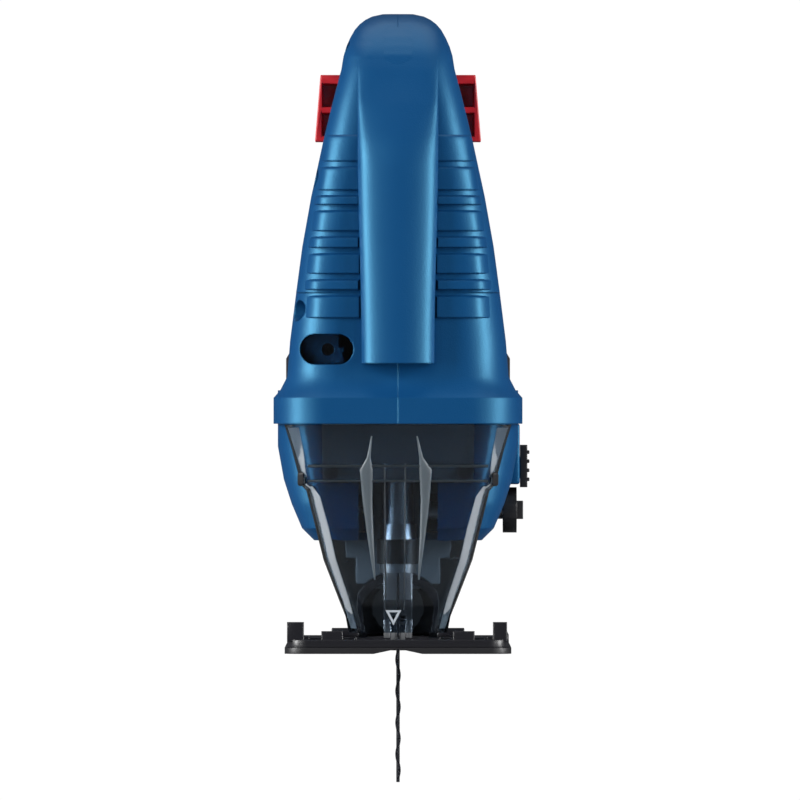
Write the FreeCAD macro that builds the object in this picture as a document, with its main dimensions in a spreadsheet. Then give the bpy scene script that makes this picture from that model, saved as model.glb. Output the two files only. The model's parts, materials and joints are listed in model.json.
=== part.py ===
"""A cordless D-handle jigsaw, built as it comes apart on a bench.

Frame: the sole lies in the plane Z = 0 and the blade comes down the Z axis. The tool points to -Y,
the tool's left hand side is +X, and +Z is up. All lengths are millimetres and all angles degrees.
"""
import FreeCAD, Part
import math
import os

import Sketcher
from FreeCAD import Placement, Rotation, Vector

doc = FreeCAD.newDocument("Jigsaw")
sheet = doc.addObject("Spreadsheet::Sheet", "Sizes")


# ---------------------------------------------------------------- sizes that the sheet drives
class Size:
    """A number that remembers the sheet formula which it comes from."""

    def __init__(self, value, text):
        self.value = float(value)
        self.text = text

    def __add__(self, other):
        return Size(self.value + number(other), f"({self.text} + {formula(other)})")

    def __radd__(self, other):
        return Size(number(other) + self.value, f"({formula(other)} + {self.text})")

    def __sub__(self, other):
        return Size(self.value - number(other), f"({self.text} - {formula(other)})")

    def __rsub__(self, other):
        return Size(number(other) - self.value, f"({formula(other)} - {self.text})")

    def __mul__(self, other):
        return Size(self.value * number(other), f"({self.text} * {formula(other)})")

    __rmul__ = __mul__

    def __truediv__(self, other):
        return Size(self.value / number(other), f"({self.text} / {formula(other)})")

    def __neg__(self):
        return Size(-self.value, f"(0 - {self.text})")


def number(value):
    return value.value if isinstance(value, Size) else float(value)


def formula(value):
    return value.text if isinstance(value, Size) else f"({float(value)})"


def bind(thing, prop, value):
    """Tie one property of a document object to the sheet."""
    thing.setExpression(prop, formula(value))


class Namespace:
    """Holds every size by its name."""


s = Namespace()
sheet_rows = 0


def sizes(title, table):
    """Write one titled group of sizes to the sheet, a row for each."""
    global sheet_rows
    sheet_rows += 1
    sheet.set(f"A{sheet_rows}", title)
    for name, value in table.items():
        sheet_rows += 1
        sheet.set(f"A{sheet_rows}", name.replace("_", " "))
        sheet.set(f"B{sheet_rows}", str(value))
        sheet.setAlias(f"B{sheet_rows}", name)
        setattr(s, name, Size(value, f"Sizes.{name}"))


sizes("Walls and fits", {
    "wall": 2.5,
    "least_rounding": 0.5,
    "fit_gap": 0.3,
    "running_gap": 0.04,
    "seat_gap": 0.2,
    "grip_thickness": 1.3,
})
sizes("Casing, seen from the front", {
    "collar_half_width": 40.8,
    "belly_half_width": 39.6,
    "shoulder_half_width": 36.3,
    "deck_half_width": 33.4,
    "neck_half_width": 28.5,
    "crown_half_width": 18.6,
    "handle_half_width": 17.6,
    "battery_foot_half_width": 33,
})
sizes("Casing, seen from the side", {
    "casing_bottom": 36.6,
    "collar_bottom": 75,
    "collar_height": 11,
    "deck_top": 130,
    "handle_bottom": 167,
    "handle_top": 209.9,
    "collar_front": -45,
    "body_rear": 93,
    "pillar_rear": 5,
    "rear_pillar_front": 92,
    "battery_foot_bottom": 102,
    "battery_foot_height": 20,
    "battery_foot_rear": 190,
})
sizes("Drive", {
    "crank_radius": 13,
    "gear_height": 87,
    "gear_teeth": 39,
    "pinion_teeth": 9,
    "gear_front": 8,
    "gear_width": 7,
    "shaft_radius": 2.5,
    "gear_shaft_radius": 5,
    "gear_bearing_radius": 11,
    "motor_bearing_radius": 7,
    "eccentric_pin_radius": 3,
    "pin_to_slider_gap": 1.2,
})
sizes("Motor", {
    "motor_radius": 21,
    "motor_front": 38,
    "can_length": 38,
    "can_wall": 1.5,
    "fan_radius": 20,
    "brush_holder_length": 14,
})
sizes("Gear case", {
    "case_half_width": 25,
    "case_wall": 2.5,
    "case_front": -19,
    "case_back": 24,
    "case_rear_wall": 8,
    "case_bottom": 56,
    "case_top": 126.5,
    "pinion_tower_bottom": 52,
    "pinion_tower_front": 7.4,
})
sizes("Plunger and guide", {
    "plunger_radius": 5,
    "plunger_top": 131,
    "yoke_half_length": 21,
    "yoke_half_height": 7.5,
    "yoke_thickness": 8,
    "slider_side": 10,
    "bush_wall": 2.5,
    "bush_height": 7,
    "lower_bush_bottom": 59,
    "upper_bush_bottom": 109,
    "cradle_pivot_height": 120,
    "cradle_pivot_y": -11.5,
    "pin_radius": 2,
})
sizes("Blade and clamp", {
    "blade_thickness": 1.2,
    "blade_width": 8,
    "blade_below_sole": 43,
    "blade_tang_top": 39.5,
    "clamp_radius": 6,
    "clamp_bottom": 26,
    "clamp_height": 16,
    "clamp_ring_radius": 7,
    "clamp_ring_height": 8,
})
sizes("Guide roller and orbital action", {
    "roller_radius": 4.6,
    "roller_groove": 1,
    "roller_width": 4.8,
    "roller_height": 6.5,
    "fork_pivot_y": 15,
    "fork_pivot_height": 34,
    "fork_half_width": 4.7,
    "selector_y": 22.2,
    "selector_height": 46.5,
    "selector_radius": 7.5,
    "selector_shaft_radius": 3,
})
sizes("Foot", {
    "foot_half_width": 37,
    "foot_front": -60,
    "foot_rear": 70,
    "foot_corner": 7,
    "shoe_thickness": 2,
    "plate_thickness": 2.5,
    "shield_window_half_width": 29,
    "shield_window_front": -44,
    "shield_window_rear": -12,
    "blade_window_half_width": 14,
    "blade_window_rear": 25,
    "tilt_height": 10,
    "arch_radius": 16,
    "arch_wall": 3,
    "arch_front": 30,
    "arch_length": 32,
    "clamp_screw_y": 46,
    "clamp_screw_radius": 2.4,
    "dust_port_radius": 8.5,
    "dust_port_height": 14,
    "dust_port_length": 10,
    "lip_height": 10.3,
})
sizes("Shield", {
    "shield_bottom": 6.6,
    "shield_wall": 2,
})
sizes("Handle controls", {
    "lock_y": 8.5,
    "lock_length": 17,
    "lock_bottom": 168,
    "lock_top": 190,
    "lock_travel": 3,
    "trigger_pivot_y": 25,
    "trigger_pivot_height": 172,
    "trigger_half_width": 5.5,
    "trunnion_length": 4,
    "trigger_length": 28,
    "switch_bottom": 179,
    "switch_height": 18,
})
sizes("Battery pack", {
    "pack_half_width": 37.5,
    "pack_front": 97,
    "pack_length": 105,
    "pack_bottom": 60,
    "tongue_half_width": 25.7,
    "tongue_neck_half_width": 21.7,
    "tongue_height": 8,
    "cell_radius": 9.1,
    "cell_length": 65,
})
sizes("Fasteners", {
    "post_radius": 5.2,
    "screw_radius": 1.7,
    "screw_head_radius": 3.3,
})

CELLS_IN_A_ROW = 5
FAR = 60.0  # further from the middle plane than any piece reaches

# ---------------------------------------------------------------- tools for making solids
parts = {}


def keep(node, piece):
    """Give a finished sub-part the name of its node."""
    piece.Label = node
    parts[node] = piece
    return piece


def block(name, x, y, z):
    """A box between three (low, high) pairs."""
    box = doc.addObject("Part::Box", name)
    for prop, letter, (low, high) in zip(("Length", "Width", "Height"), "xyz", (x, y, z)):
        bind(box, prop, high - low)
        bind(box, f"Placement.Base.{letter}", low)
    return box


def mirrored(side, near, far):
    """The low and high X of something between near and far on side +1 or -1."""
    return (near, far) if side > 0 else (-far, -near)


def across(half):
    """A span that is centred on the middle plane."""
    return (-half, half)


TURN = {
    "x": Rotation(Vector(0, 1, 0), 90),
    "y": Rotation(Vector(1, 0, 0), -90),
    "z": Rotation(),
}


def rod(name, axis, centre, radius, span):
    """A cylinder along an axis. centre gives the two other coordinates in X, Y, Z order."""
    piece = doc.addObject("Part::Cylinder", name)
    piece.Placement = Placement(Vector(), TURN[axis])
    low, high = span
    coordinates = list(centre)
    coordinates.insert("xyz".index(axis), low)
    for letter, value in zip("xyz", coordinates):
        bind(piece, f"Placement.Base.{letter}", value)
    bind(piece, "Radius", radius)
    bind(piece, "Height", high - low)
    return piece


def fuse(name, *pieces):
    if len(pieces) == 1:
        return pieces[0]
    piece = doc.addObject("Part::MultiFuse", name)
    piece.Shapes = list(pieces)
    return piece


def common(name, *pieces):
    piece = doc.addObject("Part::MultiCommon", name)
    piece.Shapes = list(pieces)
    return piece


def cut(name, base, *tools):
    piece = doc.addObject("Part::Cut", name)
    piece.Base = base
    piece.Tool = fuse(f"{name}_tools", *tools)
    return piece


def group(name, *pieces):
    """Separate solids that share one node."""
    piece = doc.addObject("Part::Compound", name)
    piece.Links = list(pieces)
    return piece


def ring(name, axis, centre, inner, outer, span):
    """A tube, bush or bearing."""
    whole = rod(f"{name}_outside", axis, centre, outer, span)
    low, high = span
    hole = rod(f"{name}_hole", axis, centre, inner, (low - 1, high + 1))
    return cut(name, whole, hole)


def origin_plane(body, role):
    return next(f for f in body.Origin.OriginFeatures if f.Role == role)


PLANES = {"xy": ("XY_Plane", 1), "xz": ("XZ_Plane", -1), "yz": ("YZ_Plane", 1)}


def sketch_on(body, plane, name, height):
    """A sketch on one of the body's origin planes, moved along the plane's world axis to height."""
    role, sign = PLANES[plane]
    sketch = body.newObject("Sketcher::SketchObject", name)
    sketch.AttachmentSupport = [(origin_plane(body, role), "")]
    sketch.MapMode = "FlatFace"
    bind(sketch, "AttachmentOffset.Base.z", height * sign)
    return sketch


def constrain(sketch, kind, geometry, place, value):
    """Fix one coordinate of a point, tied to the sheet."""
    index = sketch.addConstraint(Sketcher.Constraint(kind, geometry, place, number(value)))
    bind(sketch, f"Constraints[{index}]", value)


def outline(sketch, points):
    """A closed outline of straight lines through points given as (across, up)."""
    corners = [Vector(number(u), number(v), 0) for u, v in points]
    count = len(corners)
    for i in range(count):
        sketch.addGeometry(Part.LineSegment(corners[i], corners[(i + 1) % count]))
    for i in range(count):
        sketch.addConstraint(Sketcher.Constraint("Coincident", i, 2, (i + 1) % count, 1))
    for i, (u, v) in enumerate(points):
        constrain(sketch, "DistanceX", i, 1, u)
        constrain(sketch, "DistanceY", i, 1, v)


def prism(name, plane, points, span):
    """A body whose outline on a plane is padded between two places along the plane's axis."""
    low, high = span
    body = doc.addObject("PartDesign::Body", name)
    start = low if PLANES[plane][1] > 0 else high
    sketch = sketch_on(body, plane, f"{name}_outline", start)
    outline(sketch, points)
    pad = body.newObject("PartDesign::Pad", f"{name}_pad")
    pad.Profile = sketch
    bind(pad, "Length", high - low)
    return body


def pocket(body, name, plane, points, height, depth):
    """Cut an outline out of a body, downwards from height along the plane's axis."""
    sketch = sketch_on(body, plane, f"{name}_outline", height)
    outline(sketch, points)
    doc.recompute()
    before = body.Shape.Volume
    feature = body.newObject("PartDesign::Pocket", name)
    feature.Profile = sketch
    bind(feature, "Length", depth)
    doc.recompute()
    if body.Shape.Volume >= before:
        raise RuntimeError(f"pocket {name} cuts nothing")


def upright_edges(body, corners):
    """The names of a body's edges along Z that stand at the given (x, y) corners."""
    names = []
    for index, edge in enumerate(body.Shape.Edges, 1):
        ends = [v.Point for v in edge.Vertexes]
        if len(ends) != 2 or abs(ends[0].z - ends[1].z) < 0.5:
            continue
        for x, y in corners:
            if all(math.hypot(p.x - number(x), p.y - number(y)) < 0.01 for p in ends):
                names.append(f"Edge{index}")
    return names


def round_corners(body, name, corners, radius):
    """Fillet the upright edges at the given corners."""
    doc.recompute()
    base = body.Tip
    edges = upright_edges(body, corners)
    fillet = body.newObject("PartDesign::Fillet", name)
    fillet.Base = (base, edges)
    bind(fillet, "Radius", radius)


def rounded_rectangle(sketch, u, v, radius):
    """A rectangle between (low, high) pairs with equal rounded corners, fully constrained."""
    (left, right), (low, high) = [(number(a), number(b)) for a, b in (u, v)]
    r = number(radius)
    start = {"bottom": (left + r, low), "right": (right, low + r), "top": (right - r, high),
             "left": (left, high - r)}
    end = {"bottom": (right - r, low), "right": (right, high - r), "top": (left + r, high),
           "left": (left, low + r)}
    centres = [(right - r, low + r), (right - r, high - r), (left + r, high - r), (left + r, low + r)]
    quarter = math.pi / 2
    for i, side in enumerate(("bottom", "right", "top", "left")):
        sketch.addGeometry(Part.LineSegment(Vector(*start[side], 0), Vector(*end[side], 0)))
        circle = Part.Circle(Vector(*centres[i], 0), Vector(0, 0, 1), r)
        sketch.addGeometry(Part.ArcOfCircle(circle, (i - 1) * quarter, i * quarter))
    for i in range(8):
        sketch.addConstraint(Sketcher.Constraint("Tangent", i, 2, (i + 1) % 8, 1))
    for line, kind in ((0, "Horizontal"), (4, "Horizontal"), (2, "Vertical"), (6, "Vertical")):
        sketch.addConstraint(Sketcher.Constraint(kind, line))
    for arc in (3, 5, 7):
        sketch.addConstraint(Sketcher.Constraint("Equal", 1, arc))
    index = sketch.addConstraint(Sketcher.Constraint("Radius", 1, r))
    bind(sketch, f"Constraints[{index}]", radius)
    constrain(sketch, "DistanceY", 0, 1, v[0])
    constrain(sketch, "DistanceY", 4, 1, v[1])
    constrain(sketch, "DistanceX", 2, 1, u[1])
    constrain(sketch, "DistanceX", 6, 1, u[0])


def loft(name, plane, stations, inset=0, end_inset=None):
    """A body lofted through rounded rectangles.

    Each station is (place along the axis, half width, low, high, corner radius). inset moves every
    side inwards, and end_inset draws in the two ends, by as much as inset if it isn't given.
    """
    shift = inset if end_inset is None else end_inset
    body = doc.addObject("PartDesign::Body", name)
    sketches = []
    for i, (place, half, low, high, corner) in enumerate(stations):
        if i == 0:
            place = place + shift
        if i == len(stations) - 1:
            place = place - shift
        sketch = sketch_on(body, plane, f"{name}_station_{i}", place)
        rounding = corner - inset
        if number(rounding) < number(s.least_rounding):
            rounding = s.least_rounding
        rounded_rectangle(sketch, across(half - inset), (low + inset, high - inset), rounding)
        sketches.append(sketch)
    feature = body.newObject("PartDesign::AdditiveLoft", f"{name}_loft")
    feature.Profile = sketches[0]
    feature.Sections = [(sketch, [""]) for sketch in sketches[1:]]
    feature.Ruled = True
    return body


def tube(name, points, radius, bend):
    """A lead along straight runs joined by tangent arcs, through the given points."""
    route = [Vector(*[number(c) for c in point]) for point in points]
    edges = []
    start = route[0]
    for before, corner, after in zip(route, route[1:], route[2:]):
        incoming = (corner - before).normalize()
        outgoing = (after - corner).normalize()
        half_turn = incoming.getAngle(outgoing) / 2
        reach = bend * math.tan(half_turn)
        first = corner - incoming * reach
        last = corner + outgoing * reach
        middle_way = (outgoing - incoming).normalize()
        centre = corner + middle_way * (bend / math.cos(half_turn))
        edges.append(Part.LineSegment(start, first).toShape())
        edges.append(Part.Arc(first, centre - middle_way * bend, last).toShape())
        start = last
    edges.append(Part.LineSegment(start, route[-1]).toShape())
    path = Part.Wire(edges)
    circle = Part.Wire([Part.makeCircle(radius, route[0], route[1] - route[0])])
    piece = doc.addObject("Part::Feature", name)
    piece.Shape = path.makePipeShell([circle], True, False)
    return piece


def toothed_wheel(name, teeth, span, centre, bore):
    """A spur gear of module 1 about the Y axis, with thinned teeth, as a body with a polar pattern."""
    module = 1.0
    pitch_radius = number(teeth) * module / 2
    root_radius = pitch_radius - 1.1 * module
    tip_radius = pitch_radius + 0.85 * module
    half_pitch_angle = math.pi / (2 * number(teeth))
    low, high = span
    body = doc.addObject("PartDesign::Body", name)
    bind(body, "Placement.Base.z", centre)
    disc = body.newObject("PartDesign::AdditiveCylinder", f"{name}_disc")
    disc.AttachmentSupport = [(origin_plane(body, "XZ_Plane"), "")]
    disc.MapMode = "FlatFace"
    bind(disc, "AttachmentOffset.Base.z", -high)
    bind(disc, "Radius", Size(root_radius, f"(({formula(teeth)}) / 2 - 1.1)"))
    bind(disc, "Height", high - low)
    sketch = sketch_on(body, "xz", f"{name}_tooth_outline", high)
    thinning = 0.13
    foot = (root_radius * math.sin(half_pitch_angle * 1.45), root_radius - 0.3)
    middle = (pitch_radius * math.sin(half_pitch_angle) - thinning, pitch_radius)
    tip = (tip_radius * math.sin(half_pitch_angle * 0.42), tip_radius)
    half = [foot, middle, tip]
    corners = half + [(-u, v) for u, v in reversed(half)]
    vectors = [Vector(u, v, 0) for u, v in corners]
    for a, b in zip(vectors, vectors[1:] + vectors[:1]):
        sketch.addGeometry(Part.LineSegment(a, b))
    for i in range(len(vectors)):
        sketch.addConstraint(Sketcher.Constraint("Coincident", i, 2, (i + 1) % len(vectors), 1))
    tooth = body.newObject("PartDesign::Pad", f"{name}_tooth")
    tooth.Profile = sketch
    bind(tooth, "Length", high - low)
    doc.recompute()
    pattern = body.newObject("PartDesign::PolarPattern", f"{name}_teeth")
    pattern.Originals = [tooth]
    pattern.Axis = (origin_plane(body, "Y_Axis"), [""])
    pattern.Angle = 360
    bind(pattern, "Occurrences", teeth)
    body.Tip = pattern
    hole = rod(f"{name}_bore", "y", (0, centre), bore, (low - 1, high + 1))
    return cut(f"{name}_bored", body, hole)


# ---------------------------------------------------------------- heights and places worked out
motor_height = s.gear_height - (s.gear_teeth + s.pinion_teeth) / 2
gear_back = s.gear_front + s.gear_width
rear_wall_front = s.case_back - s.case_rear_wall
can_back = s.motor_front + s.can_length
plate_bottom = s.shoe_thickness
plate_top = s.shoe_thickness + s.plate_thickness
roller_y = s.blade_width / 2 + s.roller_radius - s.roller_groove + 0.15
pack_back = s.pack_front + s.pack_length
collar_top = s.collar_bottom + s.collar_height
yoke_rear = s.yoke_thickness / 2
clamp_top = s.clamp_bottom + s.clamp_height


# ---------------------------------------------------------------- casing
LOWER_BODY = [
    (s.casing_bottom, s.belly_half_width - 12, -6, s.body_rear - 8, 8),
    (s.casing_bottom + 4, s.belly_half_width - 8, -9, s.body_rear - 4, 10),
    (s.casing_bottom + 12, s.belly_half_width - 4.6, -10, s.body_rear - 1.5, 12),
    (s.casing_bottom + 20, s.belly_half_width - 2, -10, s.body_rear - 0.5, 14),
    (s.casing_bottom + 31, s.belly_half_width, -10, s.body_rear, 16),
    (collar_top, s.belly_half_width, -10, s.body_rear, 16),
]
UPPER_BODY = [
    (s.collar_bottom, s.collar_half_width, s.collar_front, s.body_rear, 18),
    (s.collar_bottom + 8.5, s.collar_half_width, s.collar_front, s.body_rear, 18),
    (collar_top, s.collar_half_width - 2.2, s.collar_front + 2, s.body_rear, 17),
    (collar_top + 4.5, s.shoulder_half_width, s.collar_front + 4, s.body_rear, 16),
    (s.deck_top - 28, s.deck_half_width + 2, s.collar_front + 5.5, s.body_rear + 1, 15),
    (s.deck_top - 12, s.deck_half_width, s.collar_front + 7.5, s.body_rear + 2, 14),
    (s.deck_top - 4, s.deck_half_width - 2, s.collar_front + 9, s.body_rear + 2, 13),
    (s.deck_top, s.deck_half_width - 8, s.collar_front + 15, s.body_rear - 4, 9),
]
PILLAR = [
    (s.deck_top - 12, s.deck_half_width, s.collar_front + 7.5, s.pillar_rear + 9, 12),
    (s.deck_top + 3, s.deck_half_width - 2, s.collar_front + 9.5, s.pillar_rear + 8, 12),
    (s.handle_top - 60.5, s.neck_half_width, s.collar_front + 11.5, s.pillar_rear + 5, 12),
    (s.handle_top - 42, s.neck_half_width - 4, s.collar_front + 14, s.pillar_rear, 11),
    (s.handle_top - 30, s.crown_half_width + 3, s.collar_front + 16.5, s.pillar_rear, 10),
    (s.handle_top - 18.5, s.crown_half_width, s.collar_front + 20, s.pillar_rear, 10),
    (s.handle_top - 14, s.crown_half_width - 0.7, s.collar_front + 22.4, s.pillar_rear + 2, 10),
    (s.handle_top - 11, s.crown_half_width - 1.6, s.collar_front + 25, s.pillar_rear + 5, 9.5),
    (s.handle_top - 8, s.crown_half_width - 2.9, s.collar_front + 28.2, s.pillar_rear + 8, 9),
    (s.handle_top - 5.3, s.crown_half_width - 4.4, s.collar_front + 31.8, s.pillar_rear + 10, 8),
    (s.handle_top - 3.4, s.crown_half_width - 6, s.collar_front + 34.8, s.pillar_rear + 10, 8),
    (s.handle_top - 1.9, s.crown_half_width - 7.9, s.collar_front + 38.2, s.pillar_rear + 10, 7),
    (s.handle_top - 0.8, s.crown_half_width - 10, s.collar_front + 41.8, s.pillar_rear + 9, 6),
    (s.handle_top, s.crown_half_width - 13.5, s.collar_front + 46, s.pillar_rear + 8, 3),
]
HANDLE = [
    (-12, s.handle_half_width - 3, s.handle_bottom + 3, s.handle_top - 6.5, 11),
    (0, s.handle_half_width, s.handle_bottom, s.handle_top - 0.6, 14.5),
    (30, s.handle_half_width, s.handle_bottom, s.handle_top - 1.5, 14.5),
    (70, s.handle_half_width - 0.6, s.handle_bottom - 1.5, s.handle_top - 5.5, 14.5),
    (100, s.handle_half_width - 0.6, s.handle_bottom - 5, s.handle_top - 11.5, 14.5),
    (118, s.handle_half_width - 1, s.handle_bottom - 12, s.handle_top - 21, 13),
    (127, s.handle_half_width - 4, s.handle_bottom - 10, s.handle_top - 31, 10),
]
REAR_PILLAR = [
    (s.battery_foot_bottom + 12, s.battery_foot_half_width - 3, s.rear_pillar_front - 7, 166, 12),
    (s.battery_foot_bottom + 24, s.battery_foot_half_width - 9, s.rear_pillar_front - 2, 144, 12),
    (s.battery_foot_bottom + 40, s.battery_foot_half_width - 14, s.rear_pillar_front, 135, 12),
    (s.handle_bottom, s.handle_half_width - 0.4, s.rear_pillar_front, 130, 12),
    (s.handle_bottom + 19, s.handle_half_width - 2.5, s.rear_pillar_front + 4, 122, 10),
]
BATTERY_FOOT = [
    (s.battery_foot_bottom, s.battery_foot_half_width, s.body_rear - 7, s.battery_foot_rear, 9),
    (s.battery_foot_bottom + 14, s.battery_foot_half_width, s.body_rear - 7, s.battery_foot_rear, 9),
    (s.battery_foot_bottom + s.battery_foot_height, s.battery_foot_half_width - 5, s.body_rear - 7,
     s.battery_foot_rear - 8, 7),
]
TOWERS = {
    "lower_body": ("xy", LOWER_BODY),
    "upper_body": ("xy", UPPER_BODY),
    "pillar": ("xy", PILLAR),
    "handle": ("xz", HANDLE),
    "rear_pillar": ("xy", REAR_PILLAR),
    "battery_foot": ("xy", BATTERY_FOOT),
}
# (y, z) of the screw posts that hold the two halves together
POSTS = [
    (-30, 112), (-22, 155), (-11, 197), (74, 194), (119, 170), (121, 140), (29.5, 116), (84, 40.2),
]
SCREW_SEAT = 10


def stadium(name, grow, span):
    """An oval plug along Y in the lamp's recess, grown sideways by grow."""
    left, right, height, radius = -27.1, -19.6, 99.4, 5
    middle = block(f"{name}_middle", (left, right), span, across(radius + grow))
    bind(middle, "Placement.Base.z", height - radius - grow)
    ends = [rod(f"{name}_end_{i}", "y", (x, height), radius + grow, span) for i,
            x in enumerate((left, right))]
    return fuse(name, middle, *ends)


def casing_envelope(name, inset):
    lofts = [loft(f"{label}_{name}", plane, stations, inset) for label, (plane, stations) in TOWERS.items()]
    return fuse(f"casing_{name}", *lofts)


casing_outside = casing_envelope("outside", 0)
casing_inside = casing_envelope("inside", s.wall)

gear_case_envelope = fuse(
    "gear_case_envelope",
    block("case_envelope", across(s.case_half_width + s.fit_gap),
          (s.case_front - s.fit_gap, s.case_back + s.fit_gap),
          (s.case_bottom - s.fit_gap, s.case_top + s.fit_gap)),
    block("tower_envelope", across(14 + s.fit_gap),
          (s.pinion_tower_front - s.fit_gap, s.case_back + s.fit_gap),
          (s.pinion_tower_bottom - s.fit_gap, s.case_bottom + 5)),
)


def make_housing():
    """Two shells with screw posts, motor ribs, battery rails, trunnion sockets and a lamp recess."""
    posts = [rod(f"post_{i}", "x", place, s.post_radius, across(FAR)) for i, place in enumerate(POSTS)]
    ribs = [
        block(f"motor_rib_{i}", across(FAR), (y, y + s.wall), (s.casing_bottom, motor_height + 29))
        for i, y in enumerate((s.motor_front + 5, can_back - 8))
    ]
    rails = block("battery_rails", across(s.battery_foot_half_width - 1),
                  (s.body_rear + 1, s.battery_foot_rear),
                  (s.battery_foot_bottom, s.battery_foot_bottom + 11))
    sockets = ring("trigger_socket", "x", (s.trigger_pivot_y, s.trigger_pivot_height),
                   s.pin_radius + s.running_gap, s.pin_radius + 2.2, across(FAR))
    socket_gap = block("trigger_socket_gap", across(s.trigger_half_width + s.fit_gap), (10, 40), (160, 190))
    lamp_seat = stadium("lamp_seat", 2, (s.collar_front, s.collar_front + 18))
    selector_boss = rod("selector_boss", "x", (s.selector_y, s.selector_height), s.selector_shaft_radius + 2,
                        (s.belly_half_width - 14, s.belly_half_width + 3))
    added = common("casing_inner_features",
                   fuse("inner_features", *posts, *ribs, rails, cut("trigger_sockets", sockets, socket_gap),
                        lamp_seat, selector_boss),
                   casing_outside)
    shell = fuse("casing_shell", cut("casing_hollow", casing_outside, casing_inside), added)

    motor_seat = rod("motor_seat", "y", (0, motor_height), s.motor_radius + s.seat_gap,
                     (s.motor_front - 12, s.body_rear - s.wall - 0.1))
    well = block("blade_well", across(13), (-12, s.case_back), (s.casing_bottom - 2, s.case_bottom))
    saddle_hole = block("saddle_hole", across(14 + s.seat_gap), (s.arch_front - s.seat_gap,
                        s.arch_front + s.arch_length + s.seat_gap), (30, s.casing_bottom + s.wall + 0.5))
    channel_top = s.battery_foot_bottom + s.tongue_height + s.fit_gap
    channel = block("tongue_channel", across(s.tongue_half_width + s.fit_gap), (s.body_rear, 230),
                    (s.battery_foot_bottom + s.wall, channel_top))
    neck = block("tongue_neck_channel", across(s.tongue_neck_half_width + s.fit_gap), (s.body_rear + 1, 230),
                 (s.battery_foot_bottom - 1, channel_top))
    latch_groove = block("latch_groove", across(6), (s.battery_foot_rear - 9, 230),
                         (channel_top - 1, channel_top + 1.5))
    lamp_recess = stadium("lamp_recess", 0, (s.collar_front - 5, s.collar_front + 15.5))
    lamp_lead_hole = rod("lamp_lead_hole", "y", (-23, 99.4), 2, (s.collar_front, s.collar_front + 25))
    trigger_slot = block("trigger_slot", across(s.trigger_half_width + s.fit_gap),
                         (s.trigger_pivot_y - 4.5, s.trigger_pivot_y + s.trigger_length + 1.5), (155, 176))
    trunnion_bore = rod("trunnion_bore", "x", (s.trigger_pivot_y, s.trigger_pivot_height),
                        s.pin_radius + s.running_gap,
                        across(s.trigger_half_width + s.trunnion_length + s.fit_gap))
    pockets = [
        block(f"lock_pocket_{i}", mirrored(side, 18.2 - s.lock_travel, FAR),
              (s.lock_y - 1, s.lock_y + s.lock_length + 1), (s.lock_bottom - 1.5, s.lock_top + 1.5))
        for i, side in enumerate((-1, 1))
    ]
    bar_hole = block("lock_bar_hole", across(FAR), (s.lock_y + 2 - s.fit_gap, s.lock_y + 11 + s.fit_gap),
                     (s.lock_bottom + 5 - s.fit_gap, s.lock_bottom + 15 + s.fit_gap))
    selector_bore = rod("selector_bore", "x", (s.selector_y, s.selector_height),
                        s.selector_shaft_radius + s.running_gap, (20, FAR))
    selector_face = rod("selector_face", "x", (s.selector_y, s.selector_height), s.selector_radius + 0.8,
                        (s.belly_half_width - 5.2, FAR))
    blower_slot = block("blower_slot", (30, FAR), (18 - s.fit_gap, 22 + s.fit_gap), (56.7, 69.6))
    screw_holes = []
    for i, place in enumerate(POSTS):
        screw_holes.append(rod(f"screw_hole_{i}", "x", place, s.screw_radius, (-SCREW_SEAT - 4, 10)))
        screw_holes.append(rod(f"screw_well_{i}", "x", place, s.screw_head_radius + s.seat_gap,
                               (-FAR, -SCREW_SEAT)))
    opened = cut("casing_opened", shell, motor_seat, gear_case_envelope, well, saddle_hole, channel, neck,
                 latch_groove, lamp_recess, lamp_lead_hole, trigger_slot, trunnion_bore, *pockets,
                 bar_hole, selector_bore,
                 selector_face, blower_slot, *screw_holes)
    whole = ((-100, 260), (0, 260))
    keep("housing_left", common("left_half", opened, block("left_side", (0, 100), *whole)))
    keep("housing_right", common("right_half", opened, block("right_side", (-100, 0), *whole)))
    screws = []
    for i, (y, z) in enumerate(POSTS):
        shank = rod(f"shank_{i}", "x", (y, z), s.screw_radius, (-SCREW_SEAT, 9))
        head = rod(f"head_{i}", "x", (y, z), s.screw_head_radius, (-SCREW_SEAT - 2.6, -SCREW_SEAT))
        drive = rod(f"drive_{i}", "x", (y, z), 1.3, (-SCREW_SEAT - 3, -SCREW_SEAT - 1))
        screws.append(cut(f"screw_{i}", fuse(f"screw_{i}_solid", shank, head), drive))
    keep("housing_screws", group("screws", *screws))


def make_front_strip():
    """The smooth strip that stands proud of the front pillar and hides the parting line."""
    stand = 3.4
    stations = [
        (94.7, 11.9, s.collar_front + 4.8 - stand, -20, 3),
        (s.deck_top + 3, 12.4, s.collar_front + 9.5 - stand, -18, 3),
        (s.handle_top - 42, 13.2, s.collar_front + 14 - stand, -12, 3),
        (s.handle_top - 18.5, 12, s.collar_front + 20 - stand, -8, 3),
        (s.handle_top - 11, 10.5, s.collar_front + 25 - 2.4, -6, 3),
        (s.handle_top - 6.5, 8.5, s.collar_front + 31 - 1.6, -6, 3),
    ]
    keep("front_strip", cut("strip_trimmed", loft("strip", "xy", stations, 0), casing_outside))


def make_grip():
    """The soft layer around the underside of the handle, behind the trigger."""
    wrapped = loft("grip_wrap", "xz", HANDLE, -s.grip_thickness, 0)
    span = (s.trigger_pivot_y + s.trigger_length + 3, 94)
    region = block("grip_region", across(FAR), span, (150, 186))
    keep("handle_grip", cut("grip", common("grip_cut_out", wrapped, region), casing_outside))


def make_lamp():
    keep("lamp_lens", stadium("lens", -0.15, (s.collar_front + 12.5, s.collar_front + 15.5)))


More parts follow.
